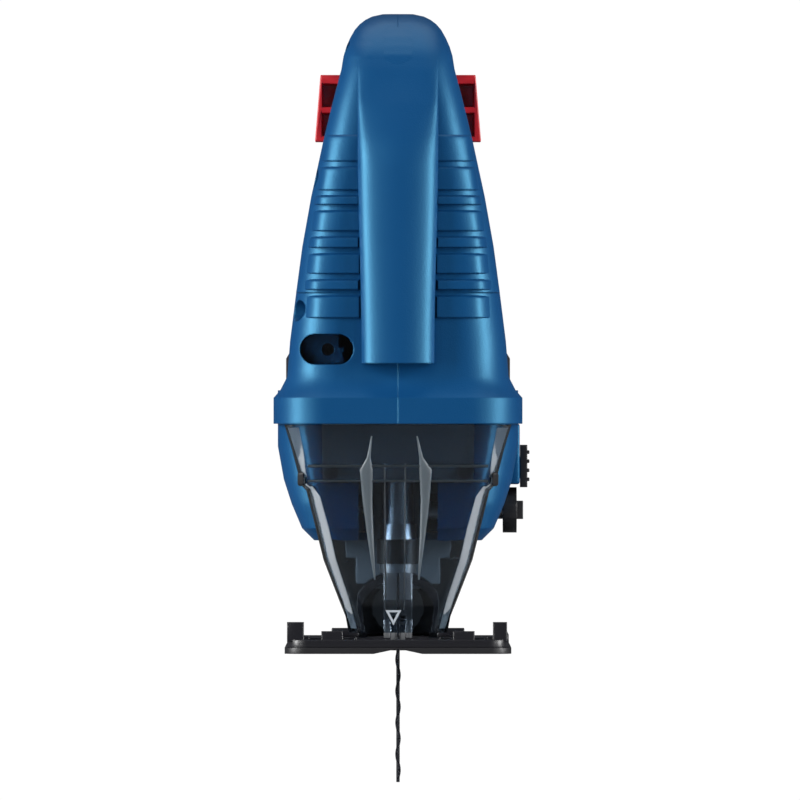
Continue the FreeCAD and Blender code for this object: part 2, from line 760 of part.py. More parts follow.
# ---------------------------------------------------------------- gear case and drive
def make_gear_case():
    tower_half = 14
    solid = fuse(
        "case_solid",
        block("case_block", across(s.case_half_width), (s.case_front + s.case_wall, s.case_back),
              (s.case_bottom, s.case_top)),
        block("case_tower", across(tower_half), (s.pinion_tower_front, s.case_back),
              (s.pinion_tower_bottom, s.case_bottom + 6)),
        *[block(f"fork_lug_{i}", x, (s.fork_pivot_y - 4, s.fork_pivot_y + 4),
                (s.fork_pivot_height - 4.5, s.pinion_tower_bottom + 1))
          for i, x in enumerate(((s.fork_half_width + s.fit_gap, 8), (-8, -s.fork_half_width - s.fit_gap)))],
    )
    cavity = block("case_cavity", across(s.case_half_width - s.case_wall),
                   (s.case_front - 1, rear_wall_front),
                   (s.case_bottom + s.case_wall, s.case_top - s.case_wall))
    pinion_room = rod("pinion_room", "y", (0, motor_height), s.pinion_teeth / 2 + 2,
                      (s.pinion_tower_front + 1.4, rear_wall_front))
    rod_holes = [
        block("rod_floor_hole", across(7.5), (-8.2, 7.4), (s.case_bottom - 1, s.case_bottom + 4)),
        rod("rod_top_hole", "z", (0, 0), s.plunger_radius + 1, (s.case_top - 4, s.case_top + 1)),
    ]
    seats = [
        rod("gear_bearing_seat", "y", (0, s.gear_height), s.gear_bearing_radius,
            (rear_wall_front - 1, s.case_back - 1)),
        rod("gear_shaft_hole", "y", (0, s.gear_height), s.gear_shaft_radius + 2,
            (rear_wall_front, s.case_back + 1)),
        rod("motor_bearing_seat", "y", (0, motor_height), s.motor_bearing_radius,
            (rear_wall_front + 1, s.case_back + 1)),
        rod("motor_shaft_hole", "y", (0, motor_height), s.shaft_radius + 1,
            (rear_wall_front - 1, s.case_back)),
    ]
    cradle_bore = rod("cradle_bore", "x", (s.cradle_pivot_y, s.cradle_pivot_height), s.pin_radius,
                      across(FAR))
    fork_bore = rod("fork_bore", "x", (s.fork_pivot_y, s.fork_pivot_height), s.pin_radius, across(10))
    holes = [rod(f"cover_hole_{i}", "y", place, 1.2, (s.case_front, s.case_front + 12))
             for i, place in enumerate(cover_screw_places())]
    bosses = [rod(f"cover_boss_{i}", "y", place, 2.6, (s.case_front + s.case_wall, s.case_front + 14))
              for i, place in enumerate(cover_screw_places())]
    hollow = cut("case_hollow", solid, cavity, pinion_room, *rod_holes)
    boss_room = block("boss_room", across(s.case_half_width), (s.case_front, s.case_back),
                      (s.case_bottom, s.case_top))
    with_bosses = fuse("case_with_bosses", hollow, common("cover_bosses", fuse("bosses", *bosses),
                                                          boss_room))
    keep("gear_case", cut("case", with_bosses, *seats, cradle_bore, fork_bore, *holes))

    cover = block("cover_plate", across(s.case_half_width), (s.case_front, s.case_front + s.case_wall),
                  (s.case_bottom, s.case_top))
    through = [rod(f"cover_through_{i}", "y", place, 1.4, (s.case_front - 1, s.case_front + 5))
               for i, place in enumerate(cover_screw_places())]
    keep("gear_case_cover", cut("cover", cover, *through))
    screws = []
    for i, place in enumerate(cover_screw_places()):
        shank = rod(f"cover_shank_{i}", "y", place, 1.2, (s.case_front, s.case_front + 10))
        head = rod(f"cover_head_{i}", "y", place, 2.4, (s.case_front - 1.8, s.case_front))
        drive = rod(f"cover_drive_{i}", "y", place, 1, (s.case_front - 2, s.case_front - 0.8))
        screws.append(cut(f"cover_screw_{i}", fuse(f"cover_screw_{i}_solid", shank, head), drive))
    keep("case_screws", group("cover_screws", *screws))


def cover_screw_places():
    x = s.case_half_width - 3
    low, high = s.case_bottom + 3.2, s.case_top - 3.2
    return [(x, low), (-x, low), (x, high), (-x, high)]


def make_drive():
    gear_span = (s.gear_front, gear_back)
    keep("drive_gear", toothed_wheel("drive_wheel", s.gear_teeth, gear_span, s.gear_height,
                                     s.gear_shaft_radius))
    keep("gear_shaft", rod("shaft_of_gear", "y", (0, s.gear_height), s.gear_shaft_radius,
                           (s.gear_front, s.case_back - 1.2)))
    keep("gear_bearing", ring("bearing_of_gear", "y", (0, s.gear_height),
                              s.gear_shaft_radius + s.running_gap,
                              s.gear_bearing_radius, (rear_wall_front + 0.4, s.case_back - 1)))
    keep("eccentric_pin", rod("crank_pin", "y", (s.crank_radius, s.gear_height), s.eccentric_pin_radius,
                              (yoke_rear + s.pin_to_slider_gap, s.gear_front)))
    keep("pinion", toothed_wheel("pinion_wheel", s.pinion_teeth, (s.gear_front + 1, gear_back), motor_height,
                                 s.shaft_radius))


def make_motor():
    axis = (0, motor_height)
    holder_back = can_back + s.brush_holder_length
    shaft_span = (s.gear_front + 1, holder_back - 0.5)
    keep("motor_shaft", rod("shaft", "y", axis, s.shaft_radius, shaft_span))
    can = ring("can_wall_ring", "y", axis, s.motor_radius - s.can_wall, s.motor_radius,
               (s.motor_front, can_back))
    face = ring("can_face", "y", axis, s.shaft_radius + 3.5, s.motor_radius,
                (s.motor_front, s.motor_front + s.can_wall))
    keep("motor_can", fuse("can", can, face))
    magnet_ring = ring("magnet_ring", "y", axis, s.motor_radius - 4.6, s.motor_radius - s.can_wall - 0.1,
                       (s.motor_front + 5, can_back - 3))
    gap = block("magnet_gap", across(6), (s.motor_front, can_back), (motor_height - 30, motor_height + 30))
    keep("motor_magnets", cut("magnets", magnet_ring, gap))
    core = ring("core", "y", axis, s.shaft_radius, s.motor_radius - 5.2, (s.motor_front + 7, can_back - 6))
    slots = []
    for i in range(7):
        slot = block(f"core_slot_{i}", across(0.9), (s.motor_front, can_back), (9, 20))
        slot.Placement = Placement(Vector(), Rotation(Vector(0, 1, 0), 360 / 7 * i))
        bind(slot, "Placement.Base.y", s.motor_front)
        angle = math.radians(360 / 7 * i)
        bind(slot, "Placement.Base.x", 9 * math.sin(angle) - 0.9 * math.cos(angle))
        bind(slot, "Placement.Base.z", motor_height + (9 * math.cos(angle) + 0.9 * math.sin(angle)))
        slots.append(slot)
    keep("armature_core", cut("armature", core, *slots))
    keep("commutator", ring("commutator_ring", "y", axis, s.shaft_radius, 7.5, (can_back - 4, can_back + 5)))
    holder = ring("holder", "y", axis, s.shaft_radius + 1, s.motor_radius, (can_back, holder_back))
    holder_room = rod("holder_room", "y", axis, 17, (can_back - 1, can_back + 7))
    bearing_seat = rod("rear_seat", "y", axis, s.motor_bearing_radius, (can_back + 8, holder_back + 1))
    brush_shelves = [block(f"brush_shelf_{i}", x, (can_back, can_back + 7.5),
                           (motor_height - 4.2, motor_height + 4.2))
                     for i, x in enumerate(((10, 17.5), (-17.5, -10)))]
    slots = block("brush_slots", across(18), (can_back + 0.8, can_back + 5.2),
                  (motor_height - 2.5, motor_height + 2.5))
    keep("brush_holder", cut("holder_done", fuse("holder_solid", cut("holder_hollow", holder, holder_room,
                                                                     bearing_seat),
                                                 *brush_shelves), slots))
    brushes = [block(f"brush_{i}", x, (can_back + 1, can_back + 5), (motor_height - 2.3, motor_height + 2.3))
               for i, x in enumerate(((7.7, 15), (-15, -7.7)))]
    keep("brushes", group("brush_pair", *brushes))
    for node, span in (("front_motor_bearing", (rear_wall_front + 1.2, s.case_back - 0.4)),
                       ("rear_motor_bearing", (can_back + 8, holder_back - 0.6))):
        keep(node, ring(f"{node}_ring", "y", axis, s.shaft_radius + s.running_gap, s.motor_bearing_radius,
                        span))

    fan_front = s.case_back + 3.5
    hub = ring("fan_hub", "y", axis, s.shaft_radius, 6, (fan_front, fan_front + 8))
    disc = ring("fan_disc", "y", axis, s.shaft_radius, s.fan_radius, (fan_front + 6, fan_front + 8))
    blades = []
    for i in range(9):
        blade = block(f"fan_blade_{i}", (5, s.fan_radius), (fan_front, fan_front + 7), across(0.6))
        angle = math.radians(40 * i)
        blade.Placement = Placement(Vector(), Rotation(Vector(0, 1, 0), -40 * i))
        bind(blade, "Placement.Base.x", 5 * math.cos(angle) + 0.6 * math.sin(angle))
        bind(blade, "Placement.Base.y", fan_front)
        bind(blade, "Placement.Base.z", motor_height + (5 * math.sin(angle) - 0.6 * math.cos(angle)))
        blades.append(blade)
    keep("cooling_fan", fuse("fan", hub, disc, *blades))


# ---------------------------------------------------------------- plunger, guide and blade
def make_plunger():
    keep("plunger_rod", rod("plunger", "z", (0, 0), s.plunger_radius, (clamp_top - 2, s.plunger_top)))
    slot_half = s.crank_radius + s.slider_side / 2 + s.fit_gap
    plate = block("yoke_plate", across(s.yoke_half_length), across(s.yoke_thickness / 2),
                  (s.gear_height - s.yoke_half_height, s.gear_height + s.yoke_half_height))
    half_slot = s.slider_side / 2 + s.running_gap
    slot = block("yoke_slot", across(slot_half), (-s.yoke_thickness / 2 + 2, s.yoke_thickness),
                 (s.gear_height - half_slot, s.gear_height + half_slot))
    hub = rod("yoke_hub", "z", (0, 0), s.plunger_radius + 1.6,
              (s.gear_height - s.yoke_half_height, s.gear_height + s.yoke_half_height))
    hub_front = block("hub_front", across(10), (-10, -s.yoke_thickness / 2 + 2),
                      (s.gear_height - 20, s.gear_height + 20))
    bore = rod("yoke_bore", "z", (0, 0), s.plunger_radius, (s.gear_height - 20, s.gear_height + 20))
    keep("yoke", cut("yoke_done", fuse("yoke_solid", cut("yoke_slotted", plate, slot),
                                       common("hub_half", hub, hub_front)), bore))
    slider = block("slider_block", (s.crank_radius - s.slider_side / 2, s.crank_radius + s.slider_side / 2),
                   (-s.yoke_thickness / 2 + 2, s.yoke_thickness / 2),
                   (s.gear_height - s.slider_side / 2, s.gear_height + s.slider_side / 2))
    slider_bore = rod("slider_bore", "y", (s.crank_radius, s.gear_height),
                      s.eccentric_pin_radius + s.running_gap,
                      (-s.yoke_thickness / 2 + 3.5, s.yoke_thickness))
    keep("yoke_slider", cut("slider", slider, slider_bore))

    clamp = rod("clamp_body", "z", (0, 0), s.clamp_radius, (s.clamp_bottom, clamp_top))
    tang_slot = block("tang_slot", across(s.blade_thickness / 2 + 0.05), across(s.blade_width / 2 + 0.1),
                      (s.clamp_bottom - 1, s.blade_tang_top + 0.1))
    rod_seat = rod("rod_seat", "z", (0, 0), s.plunger_radius, (clamp_top - 2, clamp_top + 1))
    keep("blade_clamp", cut("clamp", clamp, tang_slot, rod_seat))
    ring_bottom = s.clamp_bottom + 3
    band = ring("clamp_band", "z", (0, 0), s.clamp_radius + s.running_gap, s.clamp_ring_radius,
                (ring_bottom, ring_bottom + s.clamp_ring_height))
    keep("clamp_ring", band)

    half = s.blade_width / 2
    tip = -s.blade_below_sole
    blade_outline = [
        (half, tip + 7), (half, s.clamp_bottom - 4), (half, s.blade_tang_top), (-half, s.blade_tang_top),
        (-half, s.clamp_bottom - 4), (-half, tip),
    ]
    keep("blade", prism("blade_body", "yz", blade_outline, across(s.blade_thickness / 2)))


def make_cradle():
    """The rocking guide that carries both bushes of the plunger, hung from a pin at its top."""
    lug_back = s.plunger_radius + s.bush_wall + 1.5
    plate_back = s.cradle_pivot_y + 1.2
    plate_front = s.cradle_pivot_y - 1.3
    lower_top = s.lower_bush_bottom + s.bush_height
    upper_top = s.upper_bush_bottom + s.bush_height
    points = [
        (plate_front, s.lower_bush_bottom), (lug_back, s.lower_bush_bottom), (lug_back, lower_top),
        (plate_back, lower_top), (plate_back, s.upper_bush_bottom), (lug_back, s.upper_bush_bottom),
        (lug_back, upper_top), (plate_back, upper_top), (plate_back, s.cradle_pivot_height + 3),
        (plate_front, s.cradle_pivot_height + 3),
    ]
    frame = prism("cradle_frame", "yz", points, across(9))
    knuckle = rod("cradle_knuckle", "x", (s.cradle_pivot_y, s.cradle_pivot_height), s.pin_radius + 1.4,
                  across(9))
    pin_hole = rod("cradle_pin_hole", "x", (s.cradle_pivot_y, s.cradle_pivot_height),
                   s.pin_radius + s.running_gap,
                   across(10))
    bush_radius = s.plunger_radius + s.bush_wall
    seats = rod("bush_seats", "z", (0, 0), bush_radius, (s.lower_bush_bottom - 1, upper_top + 1))
    keep("guide_cradle", cut("cradle", fuse("cradle_solid", frame, knuckle), pin_hole, seats))
    for node, low in (("lower_bush", s.lower_bush_bottom), ("upper_bush", s.upper_bush_bottom)):
        keep(node, ring(f"{node}_ring", "z", (0, 0), s.plunger_radius + s.running_gap, bush_radius,
                        (low, low + s.bush_height)))
    keep("cradle_pin", rod("cradle_pivot", "x", (s.cradle_pivot_y, s.cradle_pivot_height), s.pin_radius,
                           across(s.case_half_width)))


def make_roller():
    """The roller behind the blade, in a fork that swings on a pin under the gear case."""
    cam_side = s.selector_y - s.selector_shaft_radius - 1.3
    points = [
        (s.fork_pivot_y - 2, s.fork_pivot_height + 12), (cam_side, s.fork_pivot_height + 12),
        (s.fork_pivot_y + 3.2, s.fork_pivot_height), (s.fork_pivot_y + 1, 20), (roller_y + 4, 4.4),
        (roller_y - 1.8, 4.4), (roller_y - 2, 10.4), (s.fork_pivot_y - 3.4, 17), (s.fork_pivot_y - 3.2, 30),
    ]
    arm = prism("fork_arm", "yz", points, across(s.fork_half_width))
    half_room = s.roller_width / 2 + 0.15
    room = block("roller_room", across(half_room), (-5, roller_y + s.roller_radius + 0.6),
                 (0, s.roller_height + s.roller_radius + 0.7))
    pivot = rod("fork_pivot_bore", "x", (s.fork_pivot_y, s.fork_pivot_height),
                s.pin_radius + s.running_gap, across(9))
    axle = rod("roller_pin_bore", "x", (roller_y, s.roller_height), 1.5, across(9))
    keep("roller_fork", cut("fork", arm, room, pivot, axle))
    keep("fork_pin", rod("fork_pivot", "x", (s.fork_pivot_y, s.fork_pivot_height), s.pin_radius, across(8)))
    keep("roller_pin", rod("roller_axle", "x", (roller_y, s.roller_height), 1.5, across(s.fork_half_width)))
    wheel = ring("roller_wheel", "x", (roller_y, s.roller_height), 1.5 + s.running_gap, s.roller_radius,
                 across(s.roller_width / 2))
    groove = ring("roller_groove_cut", "x", (roller_y, s.roller_height), s.roller_radius - s.roller_groove,
                  s.roller_radius + 1, across(s.blade_thickness / 2 + 0.3))
    keep("guide_roller", cut("roller", wheel, groove))


def make_selector():
    centre = (s.selector_y, s.selector_height)
    face = s.belly_half_width - 5
    knob = rod("knob_disc", "x", centre, s.selector_radius, (face, face + 4.6))
    wing = block("knob_wing", (face + 2, face + 6.7), (s.selector_y - 7, s.selector_y + 7),
                 (s.selector_height - 3, s.selector_height + 3))
    bore = rod("knob_bore", "x", centre, s.selector_shaft_radius, (face - 1, face + 5))
    keep("selector_knob", cut("knob", fuse("knob_solid", knob, wing), bore))
    shaft = rod("selector_rod", "x", centre, s.selector_shaft_radius, (-s.fork_half_width, face + 5))
    flat = block("selector_flat", across(s.fork_half_width + 0.4), (s.selector_y - 4, s.selector_y - 2),
                 (s.selector_height - 5, s.selector_height + 5))
    keep("selector_shaft", cut("selector_rod_cut", shaft, flat))

    pad = block("blower_pad", (s.belly_half_width + 0.7, s.belly_half_width + 3.1), (14, 26), (54, 68))
    ridges = [block(f"blower_ridge_{i}", (s.belly_half_width + 3, s.belly_half_width + 3.8), (14, 26),
                    (56 + 3 * i, 57.2 + 3 * i)) for i in range(4)]
    stem = block("blower_stem", (s.belly_half_width - 4, s.belly_half_width + 1), (18, 22), (57, 64))
    keep("blower_slide", fuse("blower", pad, stem, *ridges))


# ---------------------------------------------------------------- foot and shield
def foot_window(body, name, height, depth):
    """The T-shaped window around the blade, open below the shield."""
    wide, narrow = s.shield_window_half_width, s.blade_window_half_width
    points = [
        (-wide, s.shield_window_front), (wide, s.shield_window_front), (wide, s.shield_window_rear),
        (narrow, s.shield_window_rear), (narrow, s.blade_window_rear), (-narrow, s.blade_window_rear),
        (-narrow, s.shield_window_rear), (-wide, s.shield_window_rear),
    ]
    pocket(body, name, "xy", points, height, depth)


def foot_sheet(name, low, high, half_width, front, rear):
    corners = [(-half_width, front), (half_width, front), (half_width, rear), (-half_width, rear)]
    body = prism(name, "xy", corners, (low, high))
    round_corners(body, f"{name}_corners", corners, s.foot_corner)
    foot_window(body, f"{name}_window", high, high - low)
    return body


def make_foot():
    key_hole = rod("key_hole", "z", (0, s.clamp_screw_y), 6, (-1, plate_top + 1))
    shoe = foot_sheet("shoe_sheet", 0, plate_bottom, s.foot_half_width, s.foot_front, s.foot_rear)
    notch = prism("sight_notch", "xz", [(-8, -1), (8, -1), (8, 0), (0, 1.7), (-8, 0)],
                  (s.foot_front - 1, s.shield_window_front + 1))
    keep("foot_shoe", cut("shoe", shoe, notch, key_hole))

    inset = 0.8
    plate = foot_sheet("plate_sheet", plate_bottom, plate_top, s.foot_half_width - inset,
                       s.foot_front + inset,
                       s.foot_rear - inset)
    half = s.foot_half_width - inset
    details = []
    for i, side in enumerate((-1, 1)):
        details.append(block(f"side_rim_{i}", mirrored(side, half - 2.2, half), (-50, s.foot_rear - 12),
                             (plate_top - 0.5, plate_top + 1.6)))
        details.append(block(f"front_rib_{i}", mirrored(side, 18, 25), (s.foot_front + 3, s.foot_front + 13),
                             (plate_top - 0.5, plate_top + 2.8)))
        details.append(block(f"window_rib_{i}",
                             mirrored(side, s.shield_window_half_width, s.shield_window_half_width + 2),
                             (s.shield_window_front, s.shield_window_rear),
                             (plate_top - 0.5, plate_top + 1)))
    left_lip = block("fence_lip_right_side", (-s.foot_half_width + inset, -30.7),
                     (s.foot_front + 3, s.foot_front + 11),
                     (plate_top - 0.5, s.lip_height))
    right_lip = block("fence_lip_left_side", (31, 35.6), (s.foot_front + 3, s.foot_front + 11),
                      (plate_top - 0.5, s.lip_height))
    fence_slot = block("fence_slot", across(FAR), (s.foot_front + 5, s.foot_front + 9),
                       (plate_top, plate_top + 3.2))
    keep("foot_plate", cut("plate", fuse("plate_solid", plate, *details, left_lip, right_lip), key_hole,
                           fence_slot))

    axis = (0, s.tilt_height)
    span = (s.arch_front, s.arch_front + s.arch_length)
    back = span[1]
    half_room = s.arch_radius - s.arch_wall
    arch = fuse(
        "arch_solid",
        rod("arch_round", "y", axis, s.arch_radius, span),
        block("arch_legs", across(s.arch_radius), span, (plate_top, s.tilt_height)),
        block("arch_feet", across(s.arch_radius + 6), span, (plate_top, plate_top + s.plate_thickness)),
    )
    inner = fuse(
        "arch_room",
        rod("arch_round_room", "y", axis, half_room, (span[0] - 1, back - s.arch_wall)),
        block("arch_leg_room", across(half_room), (span[0] - 1, back - s.arch_wall), (0, s.tilt_height)),
    )
    port = rod("dust_port_sleeve", "y", (0, s.dust_port_height), s.dust_port_radius + 2,
               (back - 1, back + s.dust_port_length - s.arch_wall))
    below = block("below_plate", across(FAR), (0, 100), (-30, plate_top))
    bore = rod("dust_port_bore", "y", (0, s.dust_port_height), s.dust_port_radius,
               (back - s.arch_wall - 1, back + 20))
    slot_width = s.clamp_screw_radius + s.fit_gap
    reach = s.arch_radius * math.sin(math.radians(60))
    slot = block("tilt_slot", across(reach), (s.clamp_screw_y - slot_width, s.clamp_screw_y + slot_width),
                 (s.tilt_height + 6.6, s.tilt_height + 40))
    keep("foot_bracket", cut("bracket", fuse("bracket_solid", arch, port), inner, below, bore, slot))


def make_foot_mounting():
    """What holds the foot to the tool: a saddle above the arch and a screw and washer within it."""
    axis = (0, s.tilt_height)
    span = (s.arch_front, s.arch_front + s.arch_length)
    flange = block("saddle_flange", across(18), span, (s.casing_bottom - 6, s.casing_bottom - s.seat_gap))
    neck = block("saddle_neck", across(14), span, (s.casing_bottom - 14.6, s.casing_bottom - 5))
    plug = block("saddle_plug", across(14), span, (s.casing_bottom - 2, s.casing_bottom + s.wall))
    hollow = rod("saddle_hollow", "y", axis, s.arch_radius + s.fit_gap, (span[0] - 1, span[1] + 1))
    screw_axis = (0, s.clamp_screw_y)
    thread = rod("clamp_thread", "z", screw_axis, s.clamp_screw_radius, (20, 60))
    keep("foot_saddle", cut("saddle", fuse("saddle_solid", flange, neck, plug), hollow, thread))
    inner = s.arch_radius - s.arch_wall
    head_seat = s.tilt_height + inner - 2.6
    disc = rod("washer_round", "y", axis, inner - 0.1, (s.clamp_screw_y - 6, s.clamp_screw_y + 6))
    slab = block("washer_slab", across(8), (s.clamp_screw_y - 6, s.clamp_screw_y + 6),
                 (head_seat, head_seat + 6))
    hole = rod("washer_hole", "z", screw_axis, s.clamp_screw_radius + 0.1, (20, 60))
    keep("clamp_washer", cut("washer", common("washer_solid", disc, slab), hole))
    shank = rod("clamp_shank", "z", screw_axis, s.clamp_screw_radius, (head_seat, s.casing_bottom + 1))
    head = rod("clamp_head", "z", screw_axis, 4.5, (head_seat - 4, head_seat))
    socket = rod("clamp_socket", "z", screw_axis, 2.2, (head_seat - 5, head_seat - 1.5))
    keep("clamp_screw", cut("clamp_bolt", fuse("clamp_bolt_solid", shank, head), socket))


def make_shield():
    """A clear nose, open at the back and below, that clips under the collar."""
    top = s.collar_bottom - s.fit_gap
    stations = [
        (s.shield_bottom, 16.2, -33.5, 20, 7),
        (s.shield_bottom + 5.3, 17.2, -34.5, 20, 7),
        (s.shield_bottom + 10.6, 19.3, -35.6, 20, 7.5),
        (s.shield_bottom + 23.8, 24.4, -38, 20, 9),
        (top - 21.7, 30, -40.2, 20, 11),
        (top - 19.7, 31.8, -40.5, 20, 12),
        (top - 8, 34.8, -42, 20, 13),
        (top, 37.2, -43.2, 20, 14),
    ]
    outside = loft("shield_outside", "xy", stations, 0)
    inside = loft("shield_inside", "xy", stations, s.shield_wall, 0)
    ends = fuse("shield_ends",
                block("behind_low", across(FAR), (-13.2, 60), (0, 40)),
                block("behind_high", across(FAR), (-10.4, 60), (39, 100)))
    legs = [block(f"shield_leg_{i}", x, (-33.2, -31.5), (plate_top + 0.4, s.shield_bottom + 0.3))
            for i, x in enumerate(((10, 13), (-13, -10)))]
    keep("dust_shield", fuse("shield", cut("shield_shell", outside, inside, ends), *legs))


# ---------------------------------------------------------------- handle controls
def make_handle_controls():
    low, high = s.lock_bottom, s.lock_top
    back = s.lock_y + s.lock_length
    bar = block("lock_bar", across(19), (s.lock_y + 2, s.lock_y + 11), (low + 5, low + 15))
    wings = []
    for i, side in enumerate((-1, 1)):
        wing = prism(f"lock_wing_{i}", "xz",
                     [(side * 18.8, low), (side * 27.4, low), (side * 25.6, high), (side * 18.8, high)],
                     (s.lock_y, back))
        cells = [
            block(f"lock_cell_{i}_{j}", mirrored(side, 19.8, 25), (s.lock_y - 1, s.lock_y + 9),
                  (bottom, bottom + 7.6))
            for j, bottom in enumerate((low + 1.8, low + 11.4))
        ]
        wings.append(cut(f"lock_wing_cut_{i}", wing, *cells))
    keep("lock_off_slide", fuse("lock_slide", bar, *wings))

    y, z = s.trigger_pivot_y, s.trigger_pivot_height
    far = y + s.trigger_length
    points = [
        (y - 3.5, z + 3), (y - 3.8, z - 4.5), (y + 1, z - 10), (y + 10, z - 12.5), (y + 20, z - 12.8),
        (far - 1, z - 10), (far, z - 3), (far, z + 1.5), (y + 6, z + 2.5), (y + 4, z + 3),
    ]
    lever = prism("trigger_lever", "yz", points, across(s.trigger_half_width))
    trunnions = rod("trigger_trunnions", "x", (y, z), s.pin_radius,
                    across(s.trigger_half_width + s.trunnion_length))
    keep("trigger", fuse("trigger_solid", lever, trunnions))

    switch_top = s.switch_bottom + s.switch_height
    body = block("switch_body", across(12.6), (27, 62), (s.switch_bottom, switch_top))
    keep("switch_module", body)
    spring_y = far - 8
    spring_bottom = z + 2
    coil = Part.makeHelix(1.15, s.switch_bottom.value - spring_bottom.value - 0.8, 1.8)
    wire = Part.Wire([Part.makeCircle(0.3, Vector(1.8, 0, 0), Vector(0, 1, 0))])
    spring = doc.addObject("Part::Feature", "spring")
    spring.Shape = Part.Wire(coil).makePipeShell([wire], True, True)
    spring.Placement = Placement(Vector(0, spring_y.value, spring_bottom.value + 0.35), Rotation())
    keep("trigger_spring", spring)


# ---------------------------------------------------------------- electronics and battery
def make_electronics():
    module_front, module_back = 35, 72
    module_bottom = motor_height + 29 + s.seat_gap
    module = block("module_tray", across(28), (module_front, module_back), (module_bottom, 118))
    keep("control_module", module)
    low, high = s.battery_foot_bottom, s.battery_foot_bottom + s.tongue_height
    seat = block("terminal_seat", across(20), (s.body_rear + 1.2, s.body_rear + 7), (low + 0.2, high))
    blades = [block(f"terminal_{i}", (x - 0.4, x + 0.4), (s.body_rear + 7, s.body_rear + 17),
                    (low + 3.4, high - 1))
              for i, x in enumerate((-15, -5, 5, 15))]
    keep("terminal_block", fuse("terminals", seat, *blades))
    leads = []
    holder_top = motor_height + s.motor_radius
    lead_y = can_back + 9
    for i, x in enumerate((-9, 9)):
        leads.append(tube(f"motor_lead_{i}", [(x, module_back, 99), (x, lead_y, 99), (x, lead_y,
                                                                                      holder_top - 1.3)],
                                                                                      1.3, 5))
        leads.append(tube(f"switch_lead_{i}", [(x / 2, 62, 186.5), (x / 2, 104, 186.5), (x / 2, 104, 116),
                                               (x / 2, module_back, 116)], 1.2, 9))
        leads.append(tube(f"battery_lead_{i}", [(x * 1.5, module_back, 106), (x * 1.5, s.body_rear + 1.2,
                                                                              106)], 1.4, 3))
    keep("internal_leads", group("leads", *leads))


def make_battery():
    split = s.pack_bottom + 22
    top = s.battery_foot_bottom - s.fit_gap
    tongue_top = s.battery_foot_bottom + s.tongue_height
    back = pack_back
    lower = [
        (s.pack_bottom, s.pack_half_width - 3, s.pack_front + 3, back - 3, 6),
        (s.pack_bottom + 4, s.pack_half_width, s.pack_front, back, 8),
        (split, s.pack_half_width, s.pack_front, back, 8),
    ]
    upper = [
        (split, s.pack_half_width, s.pack_front, back, 8),
        (top - 5, s.pack_half_width, s.pack_front, back, 8),
        (top, s.pack_half_width - 3, s.pack_front + 1, back - 3, 7),
    ]
    lower_room = block("lower_room", across(s.pack_half_width - s.wall),
                       (s.pack_front + s.wall, back - s.wall), (s.pack_bottom + s.wall, split + 1))
    keep("battery_case_lower", cut("pack_lower", loft("pack_lower_solid", "xy", lower, 0), lower_room))
    upper_room = block("upper_room", across(s.pack_half_width - s.wall - 2),
                       (s.pack_front + s.wall + 1, back - s.wall - 1), (split - 1, top - s.wall))
    tongue = fuse(
        "tongue",
        block("tongue_neck", across(s.tongue_neck_half_width), (s.pack_front + 5, s.battery_foot_rear - 2),
              (top - 1, tongue_top)),
        block("tongue_rails", across(s.tongue_half_width), (s.pack_front + 5, s.battery_foot_rear - 2),
              (s.battery_foot_bottom + s.wall + s.fit_gap, tongue_top)),
    )
    slots = [block(f"contact_slot_{i}", (x - 0.8, x + 0.8), (s.pack_front, s.pack_front + 17),
                   (s.battery_foot_bottom + 2.6, tongue_top + 1)) for i, x in enumerate((-15, -5, 5, 15))]
    button_room = block("button_room", across(12.2), (back - 11.7, back - 2), (top - 8, top + 1))
    keep("battery_case_upper", cut("pack_upper", fuse("pack_upper_solid", loft("pack_upper_loft", "xy",
                                                                               upper, 0), tongue),
                                   upper_room, *slots, button_room))
    pitch = (s.pack_length - 2 * s.wall - 2 * s.cell_radius - 1) / (CELLS_IN_A_ROW - 1)
    first = s.pack_front + s.wall + s.cell_radius + 0.5
    height = s.pack_bottom + s.wall + s.cell_radius + s.seat_gap
    cells = [rod(f"cell_{i}", "x", (first + pitch * i, height), s.cell_radius, across(s.cell_length / 2))
             for i in range(CELLS_IN_A_ROW)]
    keep("battery_cells", group("cells", *cells))
    button = block("button_cap", across(12), (back - 11.5, back - 2.4), (top - 3.2, top + 2.6))
    keep("battery_button", button)
    coil = Part.makeHelix(1.2, 3.6, 2.4)
    wire = Part.Wire([Part.makeCircle(0.35, Vector(2.4, 0, 0), Vector(0, 1, 0))])
    spring = doc.addObject("Part::Feature", "latch_spring")
    spring.Shape = Part.Wire(coil).makePipeShell([wire], True, True)
    spring.Placement = Placement(Vector(0, back.value - 7.2, top.value - 7.4), Rotation())
    keep("button_spring", spring)


make_housing()
make_front_strip()
make_grip()
make_lamp()
make_gear_case()
make_drive()
make_motor()
make_plunger()
make_cradle()
make_roller()
make_selector()
make_foot()
make_foot_mounting()
make_shield()
make_handle_controls()
make_electronics()
make_battery()
doc.recompute()

# ---------------------------------------------------------------- checks, then one file for each node
for thing in doc.Objects:
    if "Invalid" in thing.State or "Error" in thing.State:
        raise RuntimeError(f"{thing.Name} failed: {thing.State}")
os.makedirs("parts", exist_ok=True)
for node, piece in parts.items():
    if piece.Shape.isNull() or not piece.Shape.isValid() or not piece.Shape.Solids:
        raise RuntimeError(f"{node} has no valid solid")
    piece.Shape.exportStep(f"parts/{node}.step")
    print(f"{node}: {len(piece.Shape.Solids)} solids, {piece.Shape.Volume / 1000:.2f} cm3")
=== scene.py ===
"""Looks of a cordless D-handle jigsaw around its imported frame.

Metres. +Z is up, the tool points to -Y, its left hand side is +X, and the sole lies at Z = 0.
"""
import json
import math

import bmesh
import bpy
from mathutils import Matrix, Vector
from mathutils.bvhtree import BVHTree


